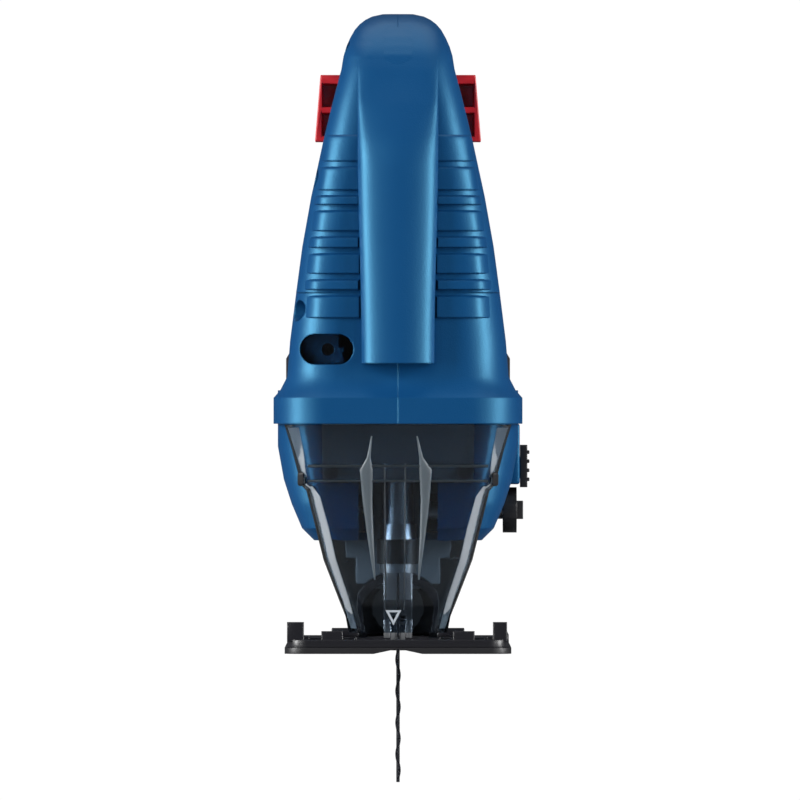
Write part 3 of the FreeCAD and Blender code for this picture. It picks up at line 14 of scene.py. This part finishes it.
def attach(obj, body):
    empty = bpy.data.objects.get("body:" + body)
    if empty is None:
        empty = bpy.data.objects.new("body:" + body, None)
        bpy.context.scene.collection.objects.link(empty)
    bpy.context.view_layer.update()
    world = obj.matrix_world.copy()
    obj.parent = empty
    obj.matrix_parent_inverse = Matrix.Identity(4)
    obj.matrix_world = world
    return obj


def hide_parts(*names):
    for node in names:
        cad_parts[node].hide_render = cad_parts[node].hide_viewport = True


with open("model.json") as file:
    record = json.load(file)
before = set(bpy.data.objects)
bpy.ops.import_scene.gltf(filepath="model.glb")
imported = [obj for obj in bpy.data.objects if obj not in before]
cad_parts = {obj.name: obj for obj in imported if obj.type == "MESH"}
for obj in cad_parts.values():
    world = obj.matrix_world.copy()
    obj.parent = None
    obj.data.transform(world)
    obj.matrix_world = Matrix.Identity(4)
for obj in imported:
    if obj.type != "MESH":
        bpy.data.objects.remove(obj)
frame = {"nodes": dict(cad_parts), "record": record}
nodes = frame["nodes"]
slot_of = {row["node"]: row["material_slot"] for row in frame["record"]["subparts"]}
MM = 0.001


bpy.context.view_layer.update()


# ---------------------------------------------------------------- materials
def finish_of(name, colour, rough, metal=0.0, grain=0.0, grain_size=0.6, edge=0.4, coat=0.0,
              mottle=0.0, brushed=False, sheen=(0.5, (1, 1, 1))):
    """A procedural surface with rounded edges, a moulded or brushed grain and slight wear."""
    material = bpy.data.materials.new(name)
    material.use_nodes = True
    tree = material.node_tree
    shader = tree.nodes["Principled BSDF"]
    shader.inputs["Base Color"].default_value = (*colour, 1)
    shader.inputs["Roughness"].default_value = rough
    shader.inputs["Metallic"].default_value = metal
    shader.inputs["Specular IOR Level"].default_value = sheen[0]
    shader.inputs["Specular Tint"].default_value = (*sheen[1], 1)
    shader.inputs["Coat Weight"].default_value = coat
    shader.inputs["Coat Roughness"].default_value = 0.25
    rounding = tree.nodes.new("ShaderNodeBevel")
    rounding.samples = 4
    rounding.inputs["Radius"].default_value = edge * MM
    normal = rounding.outputs["Normal"]
    place = tree.nodes.new("ShaderNodeTexCoord")
    if grain:
        stretch = tree.nodes.new("ShaderNodeMapping")
        stretch.inputs["Scale"].default_value = (12, 12, 1) if brushed else (1, 1, 1)
        speckle = tree.nodes.new("ShaderNodeTexNoise")
        speckle.inputs["Scale"].default_value = 1 / (grain_size * MM)
        speckle.inputs["Detail"].default_value = 3
        bump = tree.nodes.new("ShaderNodeBump")
        bump.inputs["Strength"].default_value = grain
        bump.inputs["Distance"].default_value = 0.08 * MM
        tree.links.new(place.outputs["Object"], stretch.inputs["Vector"])
        tree.links.new(stretch.outputs["Vector"], speckle.inputs["Vector"])
        tree.links.new(speckle.outputs["Fac"], bump.inputs["Height"])
        tree.links.new(normal, bump.inputs["Normal"])
        normal = bump.outputs["Normal"]
    if mottle:
        cloud = tree.nodes.new("ShaderNodeTexNoise")
        cloud.inputs["Scale"].default_value = 60
        cloud.inputs["Detail"].default_value = 5
        span = tree.nodes.new("ShaderNodeMapRange")
        span.inputs["To Min"].default_value = max(rough - mottle, 0.05)
        span.inputs["To Max"].default_value = min(rough + mottle, 1)
        tree.links.new(place.outputs["Object"], cloud.inputs["Vector"])
        tree.links.new(cloud.outputs["Fac"], span.inputs["Value"])
        tree.links.new(span.outputs["Result"], shader.inputs["Roughness"])
    tree.links.new(normal, shader.inputs["Normal"])
    return material


def clear_finish(name, colour, rough, transmission=1.0, grain=0.0):
    """Clear or smoked plastic that bends light, with faint waviness from the mould."""
    material = bpy.data.materials.new(name)
    material.use_nodes = True
    tree = material.node_tree
    shader = tree.nodes["Principled BSDF"]
    shader.inputs["Base Color"].default_value = (*colour, 1)
    shader.inputs["Roughness"].default_value = rough
    shader.inputs["Transmission Weight"].default_value = transmission
    shader.inputs["IOR"].default_value = 1.42
    place = tree.nodes.new("ShaderNodeTexCoord")
    wave = tree.nodes.new("ShaderNodeTexNoise")
    wave.inputs["Scale"].default_value = 55
    wave.inputs["Detail"].default_value = 1
    bump = tree.nodes.new("ShaderNodeBump")
    bump.inputs["Strength"].default_value = 0.25 + grain
    bump.inputs["Distance"].default_value = 0.3 * MM
    tree.links.new(place.outputs["Object"], wave.inputs["Vector"])
    tree.links.new(wave.outputs["Fac"], bump.inputs["Height"])
    tree.links.new(bump.outputs["Normal"], shader.inputs["Normal"])
    return material


BLUE = (0.0025, 0.046, 0.150)
finishes = {
    "housing": finish_of("moulded_blue", BLUE, 0.42, grain=0.6, grain_size=0.55, edge=0.7, mottle=0.05,
                         sheen=(1.0, (0.16, 0.60, 0.86))),
    "soft_grip": finish_of("soft_black", (0.012, 0.012, 0.014), 0.75, grain=0.8, grain_size=0.8),
    "lamp_lens": clear_finish("lens_clear", (0.9, 0.94, 0.98), 0.06),
    "shield": clear_finish("shield_smoked", (0.40, 0.50, 0.60), 0.05),
    "screw_steel": finish_of("screw_black", (0.10, 0.10, 0.11), 0.38, metal=1, grain=0.2, edge=0.2),
    "cast_metal": finish_of("case_paint", (0.10, 0.125, 0.15), 0.45, grain=0.7, grain_size=0.9, edge=0.6),
    "steel": finish_of("ground_steel", (0.45, 0.46, 0.48), 0.3, metal=1, grain=0.25, edge=0.2, brushed=True),
    "bearing_steel": finish_of("polished_steel", (0.6, 0.61, 0.63), 0.16, metal=1, edge=0.2, mottle=0.05),
    "spring_steel": finish_of("spring_wire", (0.5, 0.5, 0.5), 0.25, metal=1, edge=0.1, mottle=0.05),
    "magnet": finish_of("magnet_grey", (0.10, 0.10, 0.11), 0.55, grain=0.4),
    "laminations": finish_of("sheet_stack", (0.16, 0.16, 0.18), 0.4, metal=0.8, grain=0.6, brushed=True),
    "copper": finish_of("drawn_copper", (0.72, 0.36, 0.20), 0.28, metal=1, edge=0.2, mottle=0.08),
    "bronze": finish_of("sintered_bronze", (0.52, 0.34, 0.15), 0.4, metal=1, grain=0.4, grain_size=0.4),
    "carbon": finish_of("pressed_carbon", (0.03, 0.03, 0.03), 0.7, grain=0.4),
    "black_plastic": finish_of("black_grained", (0.010, 0.010, 0.012), 0.42, grain=0.45, edge=0.4,
                               mottle=0.05),
    "red_plastic": finish_of("red_satin", (0.52, 0.012, 0.020), 0.36, grain=0.2, edge=0.35, mottle=0.05),
    "blade_steel": finish_of("blade_dark", (0.035, 0.037, 0.045), 0.36, metal=0.7, grain=0.3, edge=0.1),
    "foot_black": finish_of("coated_black", (0.006, 0.006, 0.009), 0.36, grain=0.35, edge=0.6, coat=0.2),
    "shoe_plastic": finish_of("shoe_black", (0.010, 0.010, 0.012), 0.45, grain=0.35, edge=0.5, mottle=0.04),
    "lead_insulation": finish_of("lead_red", (0.40, 0.012, 0.012), 0.45, edge=0.2, mottle=0.05),
    "battery_black": finish_of("pack_black", (0.014, 0.014, 0.017), 0.45, grain=0.5, edge=0.8, mottle=0.05),
    "cell_wrap": finish_of("cell_blue", (0.02, 0.16, 0.33), 0.25, edge=0.4, coat=0.5, mottle=0.04),
    # painted shade: a near-black sheet on the casing stands in for the shade inside the open cooling slots
    "vent_shadow": finish_of("vent_shadow", (0.002, 0.003, 0.006), 0.9, edge=0.1),
    # painted highlight: paler, less clear plastic on the shield's ribs and edge beads stands in for their
    # reflections
    "shield_pale_highlight": clear_finish("shield_pale_highlight", (0.22, 0.27, 0.31), 0.30, transmission=0.62),
    "shield_soft_highlight": clear_finish("shield_soft_highlight", (0.50, 0.55, 0.60), 0.30, transmission=0.45),
    # painted shade: darker, less clear plastic along the shield's grooves and steps
    "shield_faint_shade": clear_finish("shield_faint_shade", (0.10, 0.13, 0.16), 0.35, transmission=0.80),
    "mark": finish_of("mark_grey", (0.45, 0.5, 0.55), 0.5, edge=0.1),
}

# ---------------------------------------------------------------- finishes on the frame
# width in mm of the rounded edges of the boxy pieces
EDGE_RADII = {
    "foot_shoe": 1.0, "foot_plate": 0.6, "foot_bracket": 0.4, "foot_saddle": 0.4, "lock_off_slide": 0.45,
    "blower_slide": 0.25, "selector_knob": 0.5, "battery_case_lower": 0.8, "battery_case_upper": 0.6,
    "battery_button": 0.5, "trigger": 0.5, "blade_clamp": 0.2, "guide_cradle": 0.2, "roller_fork": 0.2,
    "gear_case": 0.4, "gear_case_cover": 0.4, "control_module": 0.6, "switch_module": 0.4,
}
for node, thing in nodes.items():
    thing.data.materials.clear()
    thing.data.materials.append(finishes[slot_of[node]])
    if thing.data.has_custom_normals:
        bpy.context.view_layer.objects.active = thing
        bpy.ops.mesh.customdata_custom_splitnormals_clear()
    thing.data.polygons.foreach_set("use_smooth", [True] * len(thing.data.polygons))
    weld = thing.modifiers.new("weld", "WELD")
    weld.merge_threshold = 0.002 * MM
    if node in EDGE_RADII:
        rounded = thing.modifiers.new("rounded", "BEVEL")
        rounded.width = EDGE_RADII[node] * MM
        rounded.segments = 3
        rounded.limit_method = "ANGLE"
        rounded.angle_limit = math.radians(42)
    split = thing.modifiers.new("edges", "EDGE_SPLIT")
    split.split_angle = math.radians(28)
    split.use_edge_sharp = False


# ---------------------------------------------------------------- tools for making pieces
def tree_of(*names):
    """A search tree over the surfaces of some frame nodes."""
    points, faces = [], []
    for name in names:
        start = len(points)
        points += [vertex.co.copy() for vertex in nodes[name].data.vertices]
        faces += [[start + i for i in face.vertices] for face in nodes[name].data.polygons]
    return BVHTree.FromPolygons(points, faces)


def piece(name, points, faces, slot, body, sharp=30, bevel=0.0, finish=None):
    """A mesh in millimetres that rides on a body of the frame, in its slot's finish or another."""
    data = bpy.data.meshes.new(name)
    data.from_pydata([[c * MM for c in point] for point in points], [], faces)
    made = bmesh.new()
    made.from_mesh(data)
    bmesh.ops.remove_doubles(made, verts=made.verts, dist=0.002 * MM)
    bmesh.ops.recalc_face_normals(made, faces=made.faces)
    made.to_mesh(data)
    made.free()
    data.polygons.foreach_set("use_smooth", [True] * len(data.polygons))
    thing = bpy.data.objects.new(name, data)
    bpy.context.scene.collection.objects.link(thing)
    data.materials.append(finishes[finish or slot])
    if bevel:
        round_edges = thing.modifiers.new("round", "BEVEL")
        round_edges.width = bevel * MM
        round_edges.segments = 3
        round_edges.limit_method = "ANGLE"
        round_edges.angle_limit = math.radians(35)
    split = thing.modifiers.new("edges", "EDGE_SPLIT")
    split.split_angle = math.radians(sharp)
    split.use_edge_sharp = False
    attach(thing, body)
    return thing


def grid_faces(rows, columns, wrap=False, offset=0):
    faces = []
    for r in range(rows - 1):
        for c in range(columns if wrap else columns - 1):
            d = (c + 1) % columns
            faces.append((offset + r * columns + c, offset + r * columns + d,
                          offset + (r + 1) * columns + d, offset + (r + 1) * columns + c))
    return faces


def tube_of_sections(sections):
    """Points and faces of closed sections joined one to the next, with both ends capped."""
    columns = len(sections[0])
    points = [point for section in sections for point in section]
    faces = grid_faces(len(sections), columns, wrap=True)
    faces.append(tuple(range(columns)))
    faces.append(tuple((len(sections) - 1) * columns + i for i in reversed(range(columns))))
    return points, faces


def smooth_step(value, low, high):
    t = min(max((value - low) / (high - low), 0.0), 1.0)
    return t * t * (3 - 2 * t)


# ---------------------------------------------------------------- the casing, as a surface to follow
casing = tree_of("housing_left", "housing_right")
SIDES = ((1, "left"), (-1, "right"))
BESIDE_STRIP = 14.5


def surface_from_front(tree, x, z):
    """How far forward a surface lies at a place seen from the front, in mm."""
    hit = tree.ray_cast(Vector((x * MM, -0.4, z * MM)), Vector((0, 1, 0)))
    return hit[0].y / MM if hit[0] else None


def around_front(z, angle, back=24):
    """The point of the casing at a height, an angle away from straight ahead, and the way out there."""
    front = surface_from_front(casing, BESIDE_STRIP, z)
    centre = Vector((0, (front + back) * MM, z * MM))
    out = Vector((math.sin(angle), -math.cos(angle), 0))
    hit = casing.ray_cast(centre + out * 0.2, -out)
    return hit[0] / MM, out


# ---------------------------------------------------------------- raised bands on the casing
# (top, bottom, rise) of each raised band, from the handle down to the collar
BANDS = (
    (170.0, 160.8, 1.0), (159.5, 151.3, 1.3), (150.1, 146.5, 2.0), (145.2, 137.9, 1.3), (136.6, 132.4, 2.0),
    (131.1, 123.9, 1.3), (122.6, 118.6, 2.0), (117.3, 109.4, 1.3),
)
BAND_ANGLES = [27 + 1.5 * i for i in range(24)]
BAND_FADE = (46, 61)
BAND_ROOT = 0.3


def band_heights(low, high):
    """Heights of the rows of one band, closer together at its two edges."""
    rows = [low + step for step in (0, 0.1, 0.25, 0.45, 0.7, 1.0)]
    rows += [low + 1.0 + (high - low - 2.2) * i / 6 for i in range(1, 6)]
    return rows + [high - step for step in (1.2, 0.8, 0.4, 0.1, 0)]


def raised_bands(side, side_name):
    """Bands that stand out beside the strip and fade away round the side."""
    points, faces = [], []
    for high, low, lift in BANDS:
        heights = band_heights(low, high)
        faces += grid_faces(len(heights), len(BAND_ANGLES), offset=len(points))
        for z in heights:
            rise = min(smooth_step(z, low, low + 0.45), 1 - smooth_step(z, high - 0.9, high))
            for angle in BAND_ANGLES:
                place, out = around_front(z, side * math.radians(angle))
                fade = 1 - smooth_step(angle, *BAND_FADE)
                points.append(place + out * (-BAND_ROOT + (BAND_ROOT + lift) * rise * fade))
    piece(f"housing_{side_name}_bands", points, faces, "housing", "tool_body", sharp=50)


for side, side_name in SIDES:
    raised_bands(side, side_name)

# ---------------------------------------------------------------- rounded strip down the front
STRIP_LOW, STRIP_HIGH, STRIP_ROWS = 94.75, 199, 76
STRIP_HALF, STRIP_WIDENING = 11.9, 1.3
STRIP_PROUD, STRIP_SUNK = 7.4, 0.08
STRIP_MELT = (158, 197)
STRIP_COLUMNS = 25


def strip_section(z):
    """The strip's outline at a height: crowned in front, with two small flanks behind."""
    melt = smooth_step(z, *STRIP_MELT)
    half = STRIP_HALF + STRIP_WIDENING * smooth_step(z, 95, 168)
    proud = STRIP_PROUD * (1 - melt) - STRIP_SUNK * melt
    edge = surface_from_front(casing, half, z)
    section = [(-half * 0.96, edge + 2.5, z), (-half, edge + 0.8, z)]
    for k in range(STRIP_COLUMNS):
        turn = (-1 + 2 * k / (STRIP_COLUMNS - 1)) * math.pi / 2
        x = half * math.sin(turn)
        under = surface_from_front(casing, x, z)
        section.append((x, under - proud * (0.2 + 0.8 * math.cos(turn)), z))
    return section + [(half, edge + 0.8, z), (half * 0.96, edge + 2.5, z)]


points, faces = tube_of_sections([
    strip_section(STRIP_LOW + (STRIP_HIGH - STRIP_LOW) * i / (STRIP_ROWS - 1)) for i in range(STRIP_ROWS)
])
strip = piece("rounded_front_strip", points, faces, "housing", "tool_body", sharp=50)
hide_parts("front_strip")

# ---------------------------------------------------------------- smooth crown over the parting line
CROWN_ROWS, CROWN_COLUMNS = 40, 13
CROWN_HALF, CROWN_RISE, CROWN_ROOT = 5.5, 0.16, 0.01


def crown():
    """A thin skin over the parting line of the dome, above the strip."""
    points = []
    for i in range(CROWN_ROWS):
        lean = math.radians(8 + 1.9 * i)
        out = Vector((0, -math.cos(lean), math.sin(lean)))
        ends = min(i / 6, (CROWN_ROWS - 1 - i) / 6, 1)
        for k in range(CROWN_COLUMNS):
            x = -CROWN_HALF + 2 * CROWN_HALF * k / (CROWN_COLUMNS - 1)
            centre = Vector((x * MM, -0.008, 0.180))
            hit = casing.ray_cast(centre + out * 0.1, -out)
            rise = CROWN_RISE * ends * math.cos(math.pi * x / (2 * CROWN_HALF)) ** 2
            points.append(hit[0] / MM + out * (rise - CROWN_ROOT))
    piece("housing_crown", points, grid_faces(CROWN_ROWS, CROWN_COLUMNS), "housing", "tool_body", sharp=60)


crown()

# ---------------------------------------------------------------- cooling slots beside the motor, drawn as painted shade
SLOT_ROWS, SLOTS, SLOT_PITCH = 15, 6, 5
SLOT_LENGTH, SLOT_WIDTH, SLOT_LEAN = 17, 2.2, -0.25
FIRST_SLOT_Y, SLOT_HEIGHT = 52, 60


def slot_rows(y, side):
    """Rows of points along a rounded slot on the side of the casing, whose near-black sheet is painted shade
    for the opening.
    """
    rows = []
    for i in range(SLOT_ROWS):
        v = -SLOT_LENGTH / 2 + SLOT_LENGTH * i / (SLOT_ROWS - 1)
        tail = max(abs(v) - (SLOT_LENGTH - SLOT_WIDTH) / 2, 0)
        half = math.sqrt(max((SLOT_WIDTH / 2) ** 2 - tail ** 2, 0.01))
        z = SLOT_HEIGHT + v
        for u in (y - half + v * SLOT_LEAN, y + v * SLOT_LEAN, y + half + v * SLOT_LEAN):
            hit = casing.ray_cast(Vector((side * 0.2, u * MM, z * MM)), Vector((-side, 0, 0)))
            rows.append((hit[0].x / MM + side * 0.08, u, z))
    return rows


def cooling_slots(side, side_name):
    points, faces = [], []
    for i in range(SLOTS):
        faces += grid_faces(SLOT_ROWS, 3, offset=len(points))
        points += slot_rows(FIRST_SLOT_Y + SLOT_PITCH * i, side)
    piece(f"housing_{side_name}_vents", points, faces, "black_plastic", "tool_body", finish="vent_shadow")


for side, side_name in SIDES:
    cooling_slots(side, side_name)

# ---------------------------------------------------------------- blade with set teeth
TEETH_LOW, TEETH_HIGH, PITCH = -41.5, 6.0, 2.6
TOOTH_DEPTH, TOOTH_SET = 1.25, 0.42
BLADE_LOW, BLADE_STEP, BLADE_ROWS = -42.95, 0.25, 330
BLADE_HALF = 0.58
SHANK_FROM, SHANK_HALF = 26.4, 3.4


def blade_section(z):
    """Eight corners of the blade at a height, with the tooth pushed to one side and then the other."""
    toothed = TEETH_LOW < z < TEETH_HIGH
    phase = ((z - TEETH_LOW) / PITCH) % 1.0
    tip = -2.7 - (TOOTH_DEPTH * (1 - phase) if toothed else 0.9)
    lateral = TOOTH_SET * math.sin(2 * math.pi * z / (4 * PITCH)) if toothed else 0.0
    back = 3.97 - 4.6 * smooth_step(-z, 36.5, 43.2)
    if z > SHANK_FROM:
        tip, back = -SHANK_HALF, SHANK_HALF
    middle = min(back - 0.5, -1.0)
    return [
        (-BLADE_HALF, back, z), (BLADE_HALF, back, z), (BLADE_HALF, middle, z), (0.5 + lateral, -2.6, z),
        (0.34 + lateral, tip, z), (-0.34 + lateral, tip, z), (-0.5 + lateral, -2.6, z),
        (-BLADE_HALF, middle, z),
    ]


points, faces = tube_of_sections([blade_section(BLADE_LOW + i * BLADE_STEP) for i in range(BLADE_ROWS)])
blade = piece("toothed_blade", points, faces, "blade_steel", "plunger", sharp=25)
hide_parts("blade")

# ---------------------------------------------------------------- shield: ribs, lines and sight mark, with painted highlights and shade
shield_front = tree_of("dust_shield")
BESIDE_SHIELD = -36.0


def shield_y(x, z):
    """How far forward the shield lies, or where its flank starts if nothing is in front there."""
    found = surface_from_front(shield_front, x, z)
    return BESIDE_SHIELD if found is None else found


def shield_bead(name, path, depth, finish):
    """A rounded bead on the outside of the shield, along (x, z, width) places."""
    places = []
    for (x0, z0, w0), (x1, z1, w1) in zip(path, path[1:]):
        for k in range(7):
            t = k / 7
            places.append((x0 + (x1 - x0) * t, z0 + (z1 - z0) * t, (w0 + (w1 - w0) * t) / 2))
    places.append((path[-1][0], path[-1][1], path[-1][2] / 2))
    sections = []
    for i, (x, z, half) in enumerate(places):
        reach = depth * min(i / 5, (len(places) - 1 - i) / 5, 1)
        near, far = shield_y(x - half, z) + 0.25, shield_y(x + half, z) + 0.25
        turns = [math.radians(a) for a in range(0, 181, 20)]
        sections.append([
            (x + half * math.cos(a),
             far + (near - far) * (1 - math.cos(a)) / 2 - (reach + 0.3) * math.sin(a), z) for a in turns
        ])
    points, faces = tube_of_sections(sections)
    piece(name, points, faces, "shield", "shield", sharp=60, finish=finish)


# painted highlight: the ribs, edge beads and shoulders are paler than the shield
shield_bead("shield_rib_right", [(-8.6, 71, 0.5), (-9.6, 64, 1.3), (-10.4, 60, 4.4), (-10.0, 50, 3.3),
                                 (-9.0, 38, 2.1), (-7.6, 24, 0.6)], 0.5, "shield_pale_highlight")
shield_bead("shield_rib_left", [(6.2, 71, 0.5), (7.6, 64, 1.3), (9.0, 60, 4.2), (8.9, 50, 3.0),
                                (8.0, 38, 1.9), (6.8, 24, 0.6)], 0.5, "shield_pale_highlight")
for side, side_name in SIDES:
    shield_bead(f"shield_edge_{side_name}_high", [(side * 34.2, 73.8, 3.6), (side * 32.2, 66, 2.8),
                                                  (side * 30.4, 57.5, 1.2)], 0.35, "shield_soft_highlight")
    shield_bead(f"shield_edge_{side_name}_low", [(side * 28.4, 54.6, 1.2), (side * 26.6, 51.2, 2.4),
                                                 (side * 24.0, 41, 3.0), (side * 21.5, 30.4, 2.8),
                                                 (side * 17.0, 17.2, 2.4), (side * 14.4, 8, 2.0)],
                0.35, "shield_soft_highlight")
    # painted shade: the grooves are darker than the shield
    shield_bead(f"shield_groove_{side_name}", [(side * 3.4 - 1, 62, 0.5), (side * 3.0 - 1, 14, 0.5)],
                0.15, "shield_faint_shade")
shield_bead("shield_shoulder_right", [(-30.4, 55.4, 0.7), (-27.6, 53.2, 1.0)], 0.3, "shield_soft_highlight")
shield_bead("shield_shoulder_left", [(30.4, 55.4, 0.7), (27.6, 53.2, 1.0)], 0.3, "shield_soft_highlight")


def sight_mark():
    """A plain triangle that points at the blade."""
    outer = ((-4.1, 14.0), (1.1, 14.0), (-1.5, 9.0))
    inner = ((-2.9, 13.3), (-0.1, 13.3), (-1.5, 10.6))
    points = [(x, shield_y(x, z) - 0.05, z) for x, z in outer + inner]
    points += [(x, y - 0.2, z) for x, y, z in points]
    faces = []
    for i in range(3):
        j = (i + 1) % 3
        faces += [(6 + i, 6 + j, 9 + j, 9 + i), (i, j, 6 + j, 6 + i), (3 + i, 3 + j, 9 + j, 9 + i)]
    piece("sight_mark", points, faces, "shield", "shield", sharp=30, finish="mark")


def step_line(name, height, drop, half=29.5):
    """A faint step across the shield below the collar, darkened with painted shade."""
    profile = ((-drop, 0.3), (-drop * 0.6, -0.12), (drop * 0.6, -0.12), (drop, 0.3))
    sections = []
    for i in range(41):
        x = -half + 2 * half * i / 40
        sections.append([(x, shield_y(x, height + rise) + back, height + rise) for rise, back in profile])
    points, faces = tube_of_sections(sections)
    piece(name, points, faces, "shield", "shield", sharp=60, finish="shield_faint_shade")


sight_mark()
step_line("shield_step_upper", 61.2, 0.5)
step_line("shield_step_lower", 56.3, 0.4)


# ---------------------------------------------------------------- slide bed and battery ribs
def bar(x, y, z):
    """Sections of a plain bar between three (low, high) pairs, in mm."""
    return [[(x[0], y[0], h), (x[1], y[0], h), (x[1], y[1], h), (x[0], y[1], h)] for h in z]


def bars(name, places, slot, body, bevel):
    """Plain bars with rounded edges, joined in one piece."""
    points, faces = [], []
    for place in places:
        more_points, more_faces = tube_of_sections(bar(*place))
        faces += [tuple(len(points) + i for i in face) for face in more_faces]
        points += more_points
    piece(name, points, faces, slot, body, sharp=30, bevel=bevel)


BED_OUT, BED_HEIGHT = (36.0, 40.15), (55, 75)
bars("housing_left_slide_bed", [(BED_OUT, (9.5, 17.2), BED_HEIGHT), (BED_OUT, (22.8, 30.5), BED_HEIGHT)],
     "housing", "tool_body", 0.8)
for side, side_name in SIDES:
    reach = (37.0, 38.3) if side > 0 else (-38.3, -37.0)
    bars(f"battery_{side_name}_ribs", [(reach, (150 + 7 * i, 153 + 7 * i), (66, 78)) for i in range(6)],
         "battery_black", "battery", 0.5)


# ---------------------------------------------------------------- clip pads of the shield
def clip_pad(name, side):
    """A small dark pad where the shield hooks into the casing."""
    sections = []
    for z, inset in ((54.6, 0.5), (55.2, 0.0), (58.6, 0.0), (59.2, 0.5)):
        near, far = side * (30.9 + inset), side * (32.9 - inset)
        front = max(shield_y(side * 30.4, z), -38) + inset
        sections.append([
            (near, front - 0.6, z), (far, front + 1.2, z), (far, front + 4, z), (near, front + 3, z),
        ])
    points, faces = tube_of_sections(sections)
    piece(name, points, faces, "black_plastic", "shield", sharp=30, bevel=0.25)


for side, side_name in SIDES:
    clip_pad(f"shield_clip_{side_name}", side)


# ---------------------------------------------------------------- stage, lights and camera
FLOOR, FLOOR_RADIUS = -0.0445, 20
PAPER_WHITE = 1.02


def backdrop():
    """A wide floor, plain white where the camera sees it."""
    data = bpy.data.meshes.new("backdrop")
    turns = [math.radians(a) for a in range(0, 360, 10)]
    ring = [(FLOOR_RADIUS * math.cos(a), FLOOR_RADIUS * math.sin(a), FLOOR) for a in turns]
    data.from_pydata([(0, 0, FLOOR)] + ring, [], [(0, i + 1, (i + 1) % 36 + 1) for i in range(36)])
    thing = bpy.data.objects.new("backdrop", data)
    bpy.context.scene.collection.objects.link(thing)
    material = bpy.data.materials.new("backdrop_white")
    material.use_nodes = True
    tree = material.node_tree
    shader = tree.nodes["Principled BSDF"]
    shader.inputs["Base Color"].default_value = (0.16, 0.165, 0.17, 1)
    shader.inputs["Roughness"].default_value = 0.9
    glow = tree.nodes.new("ShaderNodeEmission")
    glow.inputs["Strength"].default_value = PAPER_WHITE
    ray = tree.nodes.new("ShaderNodeLightPath")
    mix = tree.nodes.new("ShaderNodeMixShader")
    tree.links.new(ray.outputs["Is Camera Ray"], mix.inputs["Fac"])
    tree.links.new(shader.outputs["BSDF"], mix.inputs[1])
    tree.links.new(glow.outputs["Emission"], mix.inputs[2])
    tree.links.new(mix.outputs["Shader"], tree.nodes["Material Output"].inputs["Surface"])
    data.materials.append(material)


def softbox(name, place, power, width, height, aim=(0, 0, 0.09)):
    lamp = bpy.data.lights.new(name, "AREA")
    lamp.shape = "RECTANGLE"
    lamp.size = width
    lamp.size_y = height
    lamp.energy = power
    thing = bpy.data.objects.new(name, lamp)
    thing.location = place
    thing.rotation_euler = (Vector(aim) - Vector(place)).to_track_quat("-Z", "Y").to_euler()
    bpy.context.scene.collection.objects.link(thing)


def studio_world():
    """A weak grey sky that the camera sees as white."""
    world = bpy.data.worlds.new("studio")
    world.use_nodes = True
    tree = world.node_tree
    sky = tree.nodes["Background"]
    sky.inputs["Color"].default_value = (0.78, 0.82, 0.88, 1)
    sky.inputs["Strength"].default_value = 0.07
    white = tree.nodes.new("ShaderNodeBackground")
    white.inputs["Color"].default_value = (1, 1, 1, 1)
    white.inputs["Strength"].default_value = PAPER_WHITE
    ray = tree.nodes.new("ShaderNodeLightPath")
    mix = tree.nodes.new("ShaderNodeMixShader")
    tree.links.new(ray.outputs["Is Camera Ray"], mix.inputs["Fac"])
    tree.links.new(sky.outputs["Background"], mix.inputs[1])
    tree.links.new(white.outputs["Background"], mix.inputs[2])
    tree.links.new(mix.outputs["Shader"], tree.nodes["World Output"].inputs["Surface"])
    return world


backdrop()
softbox("side_right", (-1.40, -0.55, 0.42), 38, 0.42, 1.1)
softbox("side_left", (1.40, -0.55, 0.38), 32, 0.42, 1.1)
softbox("front_high", (-0.55, -1.3, 1.0), 1.6, 0.5, 0.5)
softbox("top", (0.0, 0.25, 1.4), 6, 1.2, 1.2)
softbox("streak_right", (-0.62, -0.75, -0.02), 1.5, 0.06, 0.7, aim=(0, 0, 0.04))
softbox("streak_left", (0.62, -0.75, -0.02), 1.5, 0.06, 0.7, aim=(0, 0, 0.04))

scene = bpy.context.scene
scene.world = studio_world()

camera_data = bpy.data.cameras.new("camera")
camera_data.sensor_width = 36
camera_data.lens = 820
camera_data.clip_start = 0.1
camera_data.clip_end = 60
camera = bpy.data.objects.new("camera", camera_data)
camera.location = (0.00066, -6.0, 0.0828)
camera.rotation_euler = (math.radians(90), 0, 0)
scene.collection.objects.link(camera)
scene.camera = camera
scene.view_settings.view_transform = "Standard"
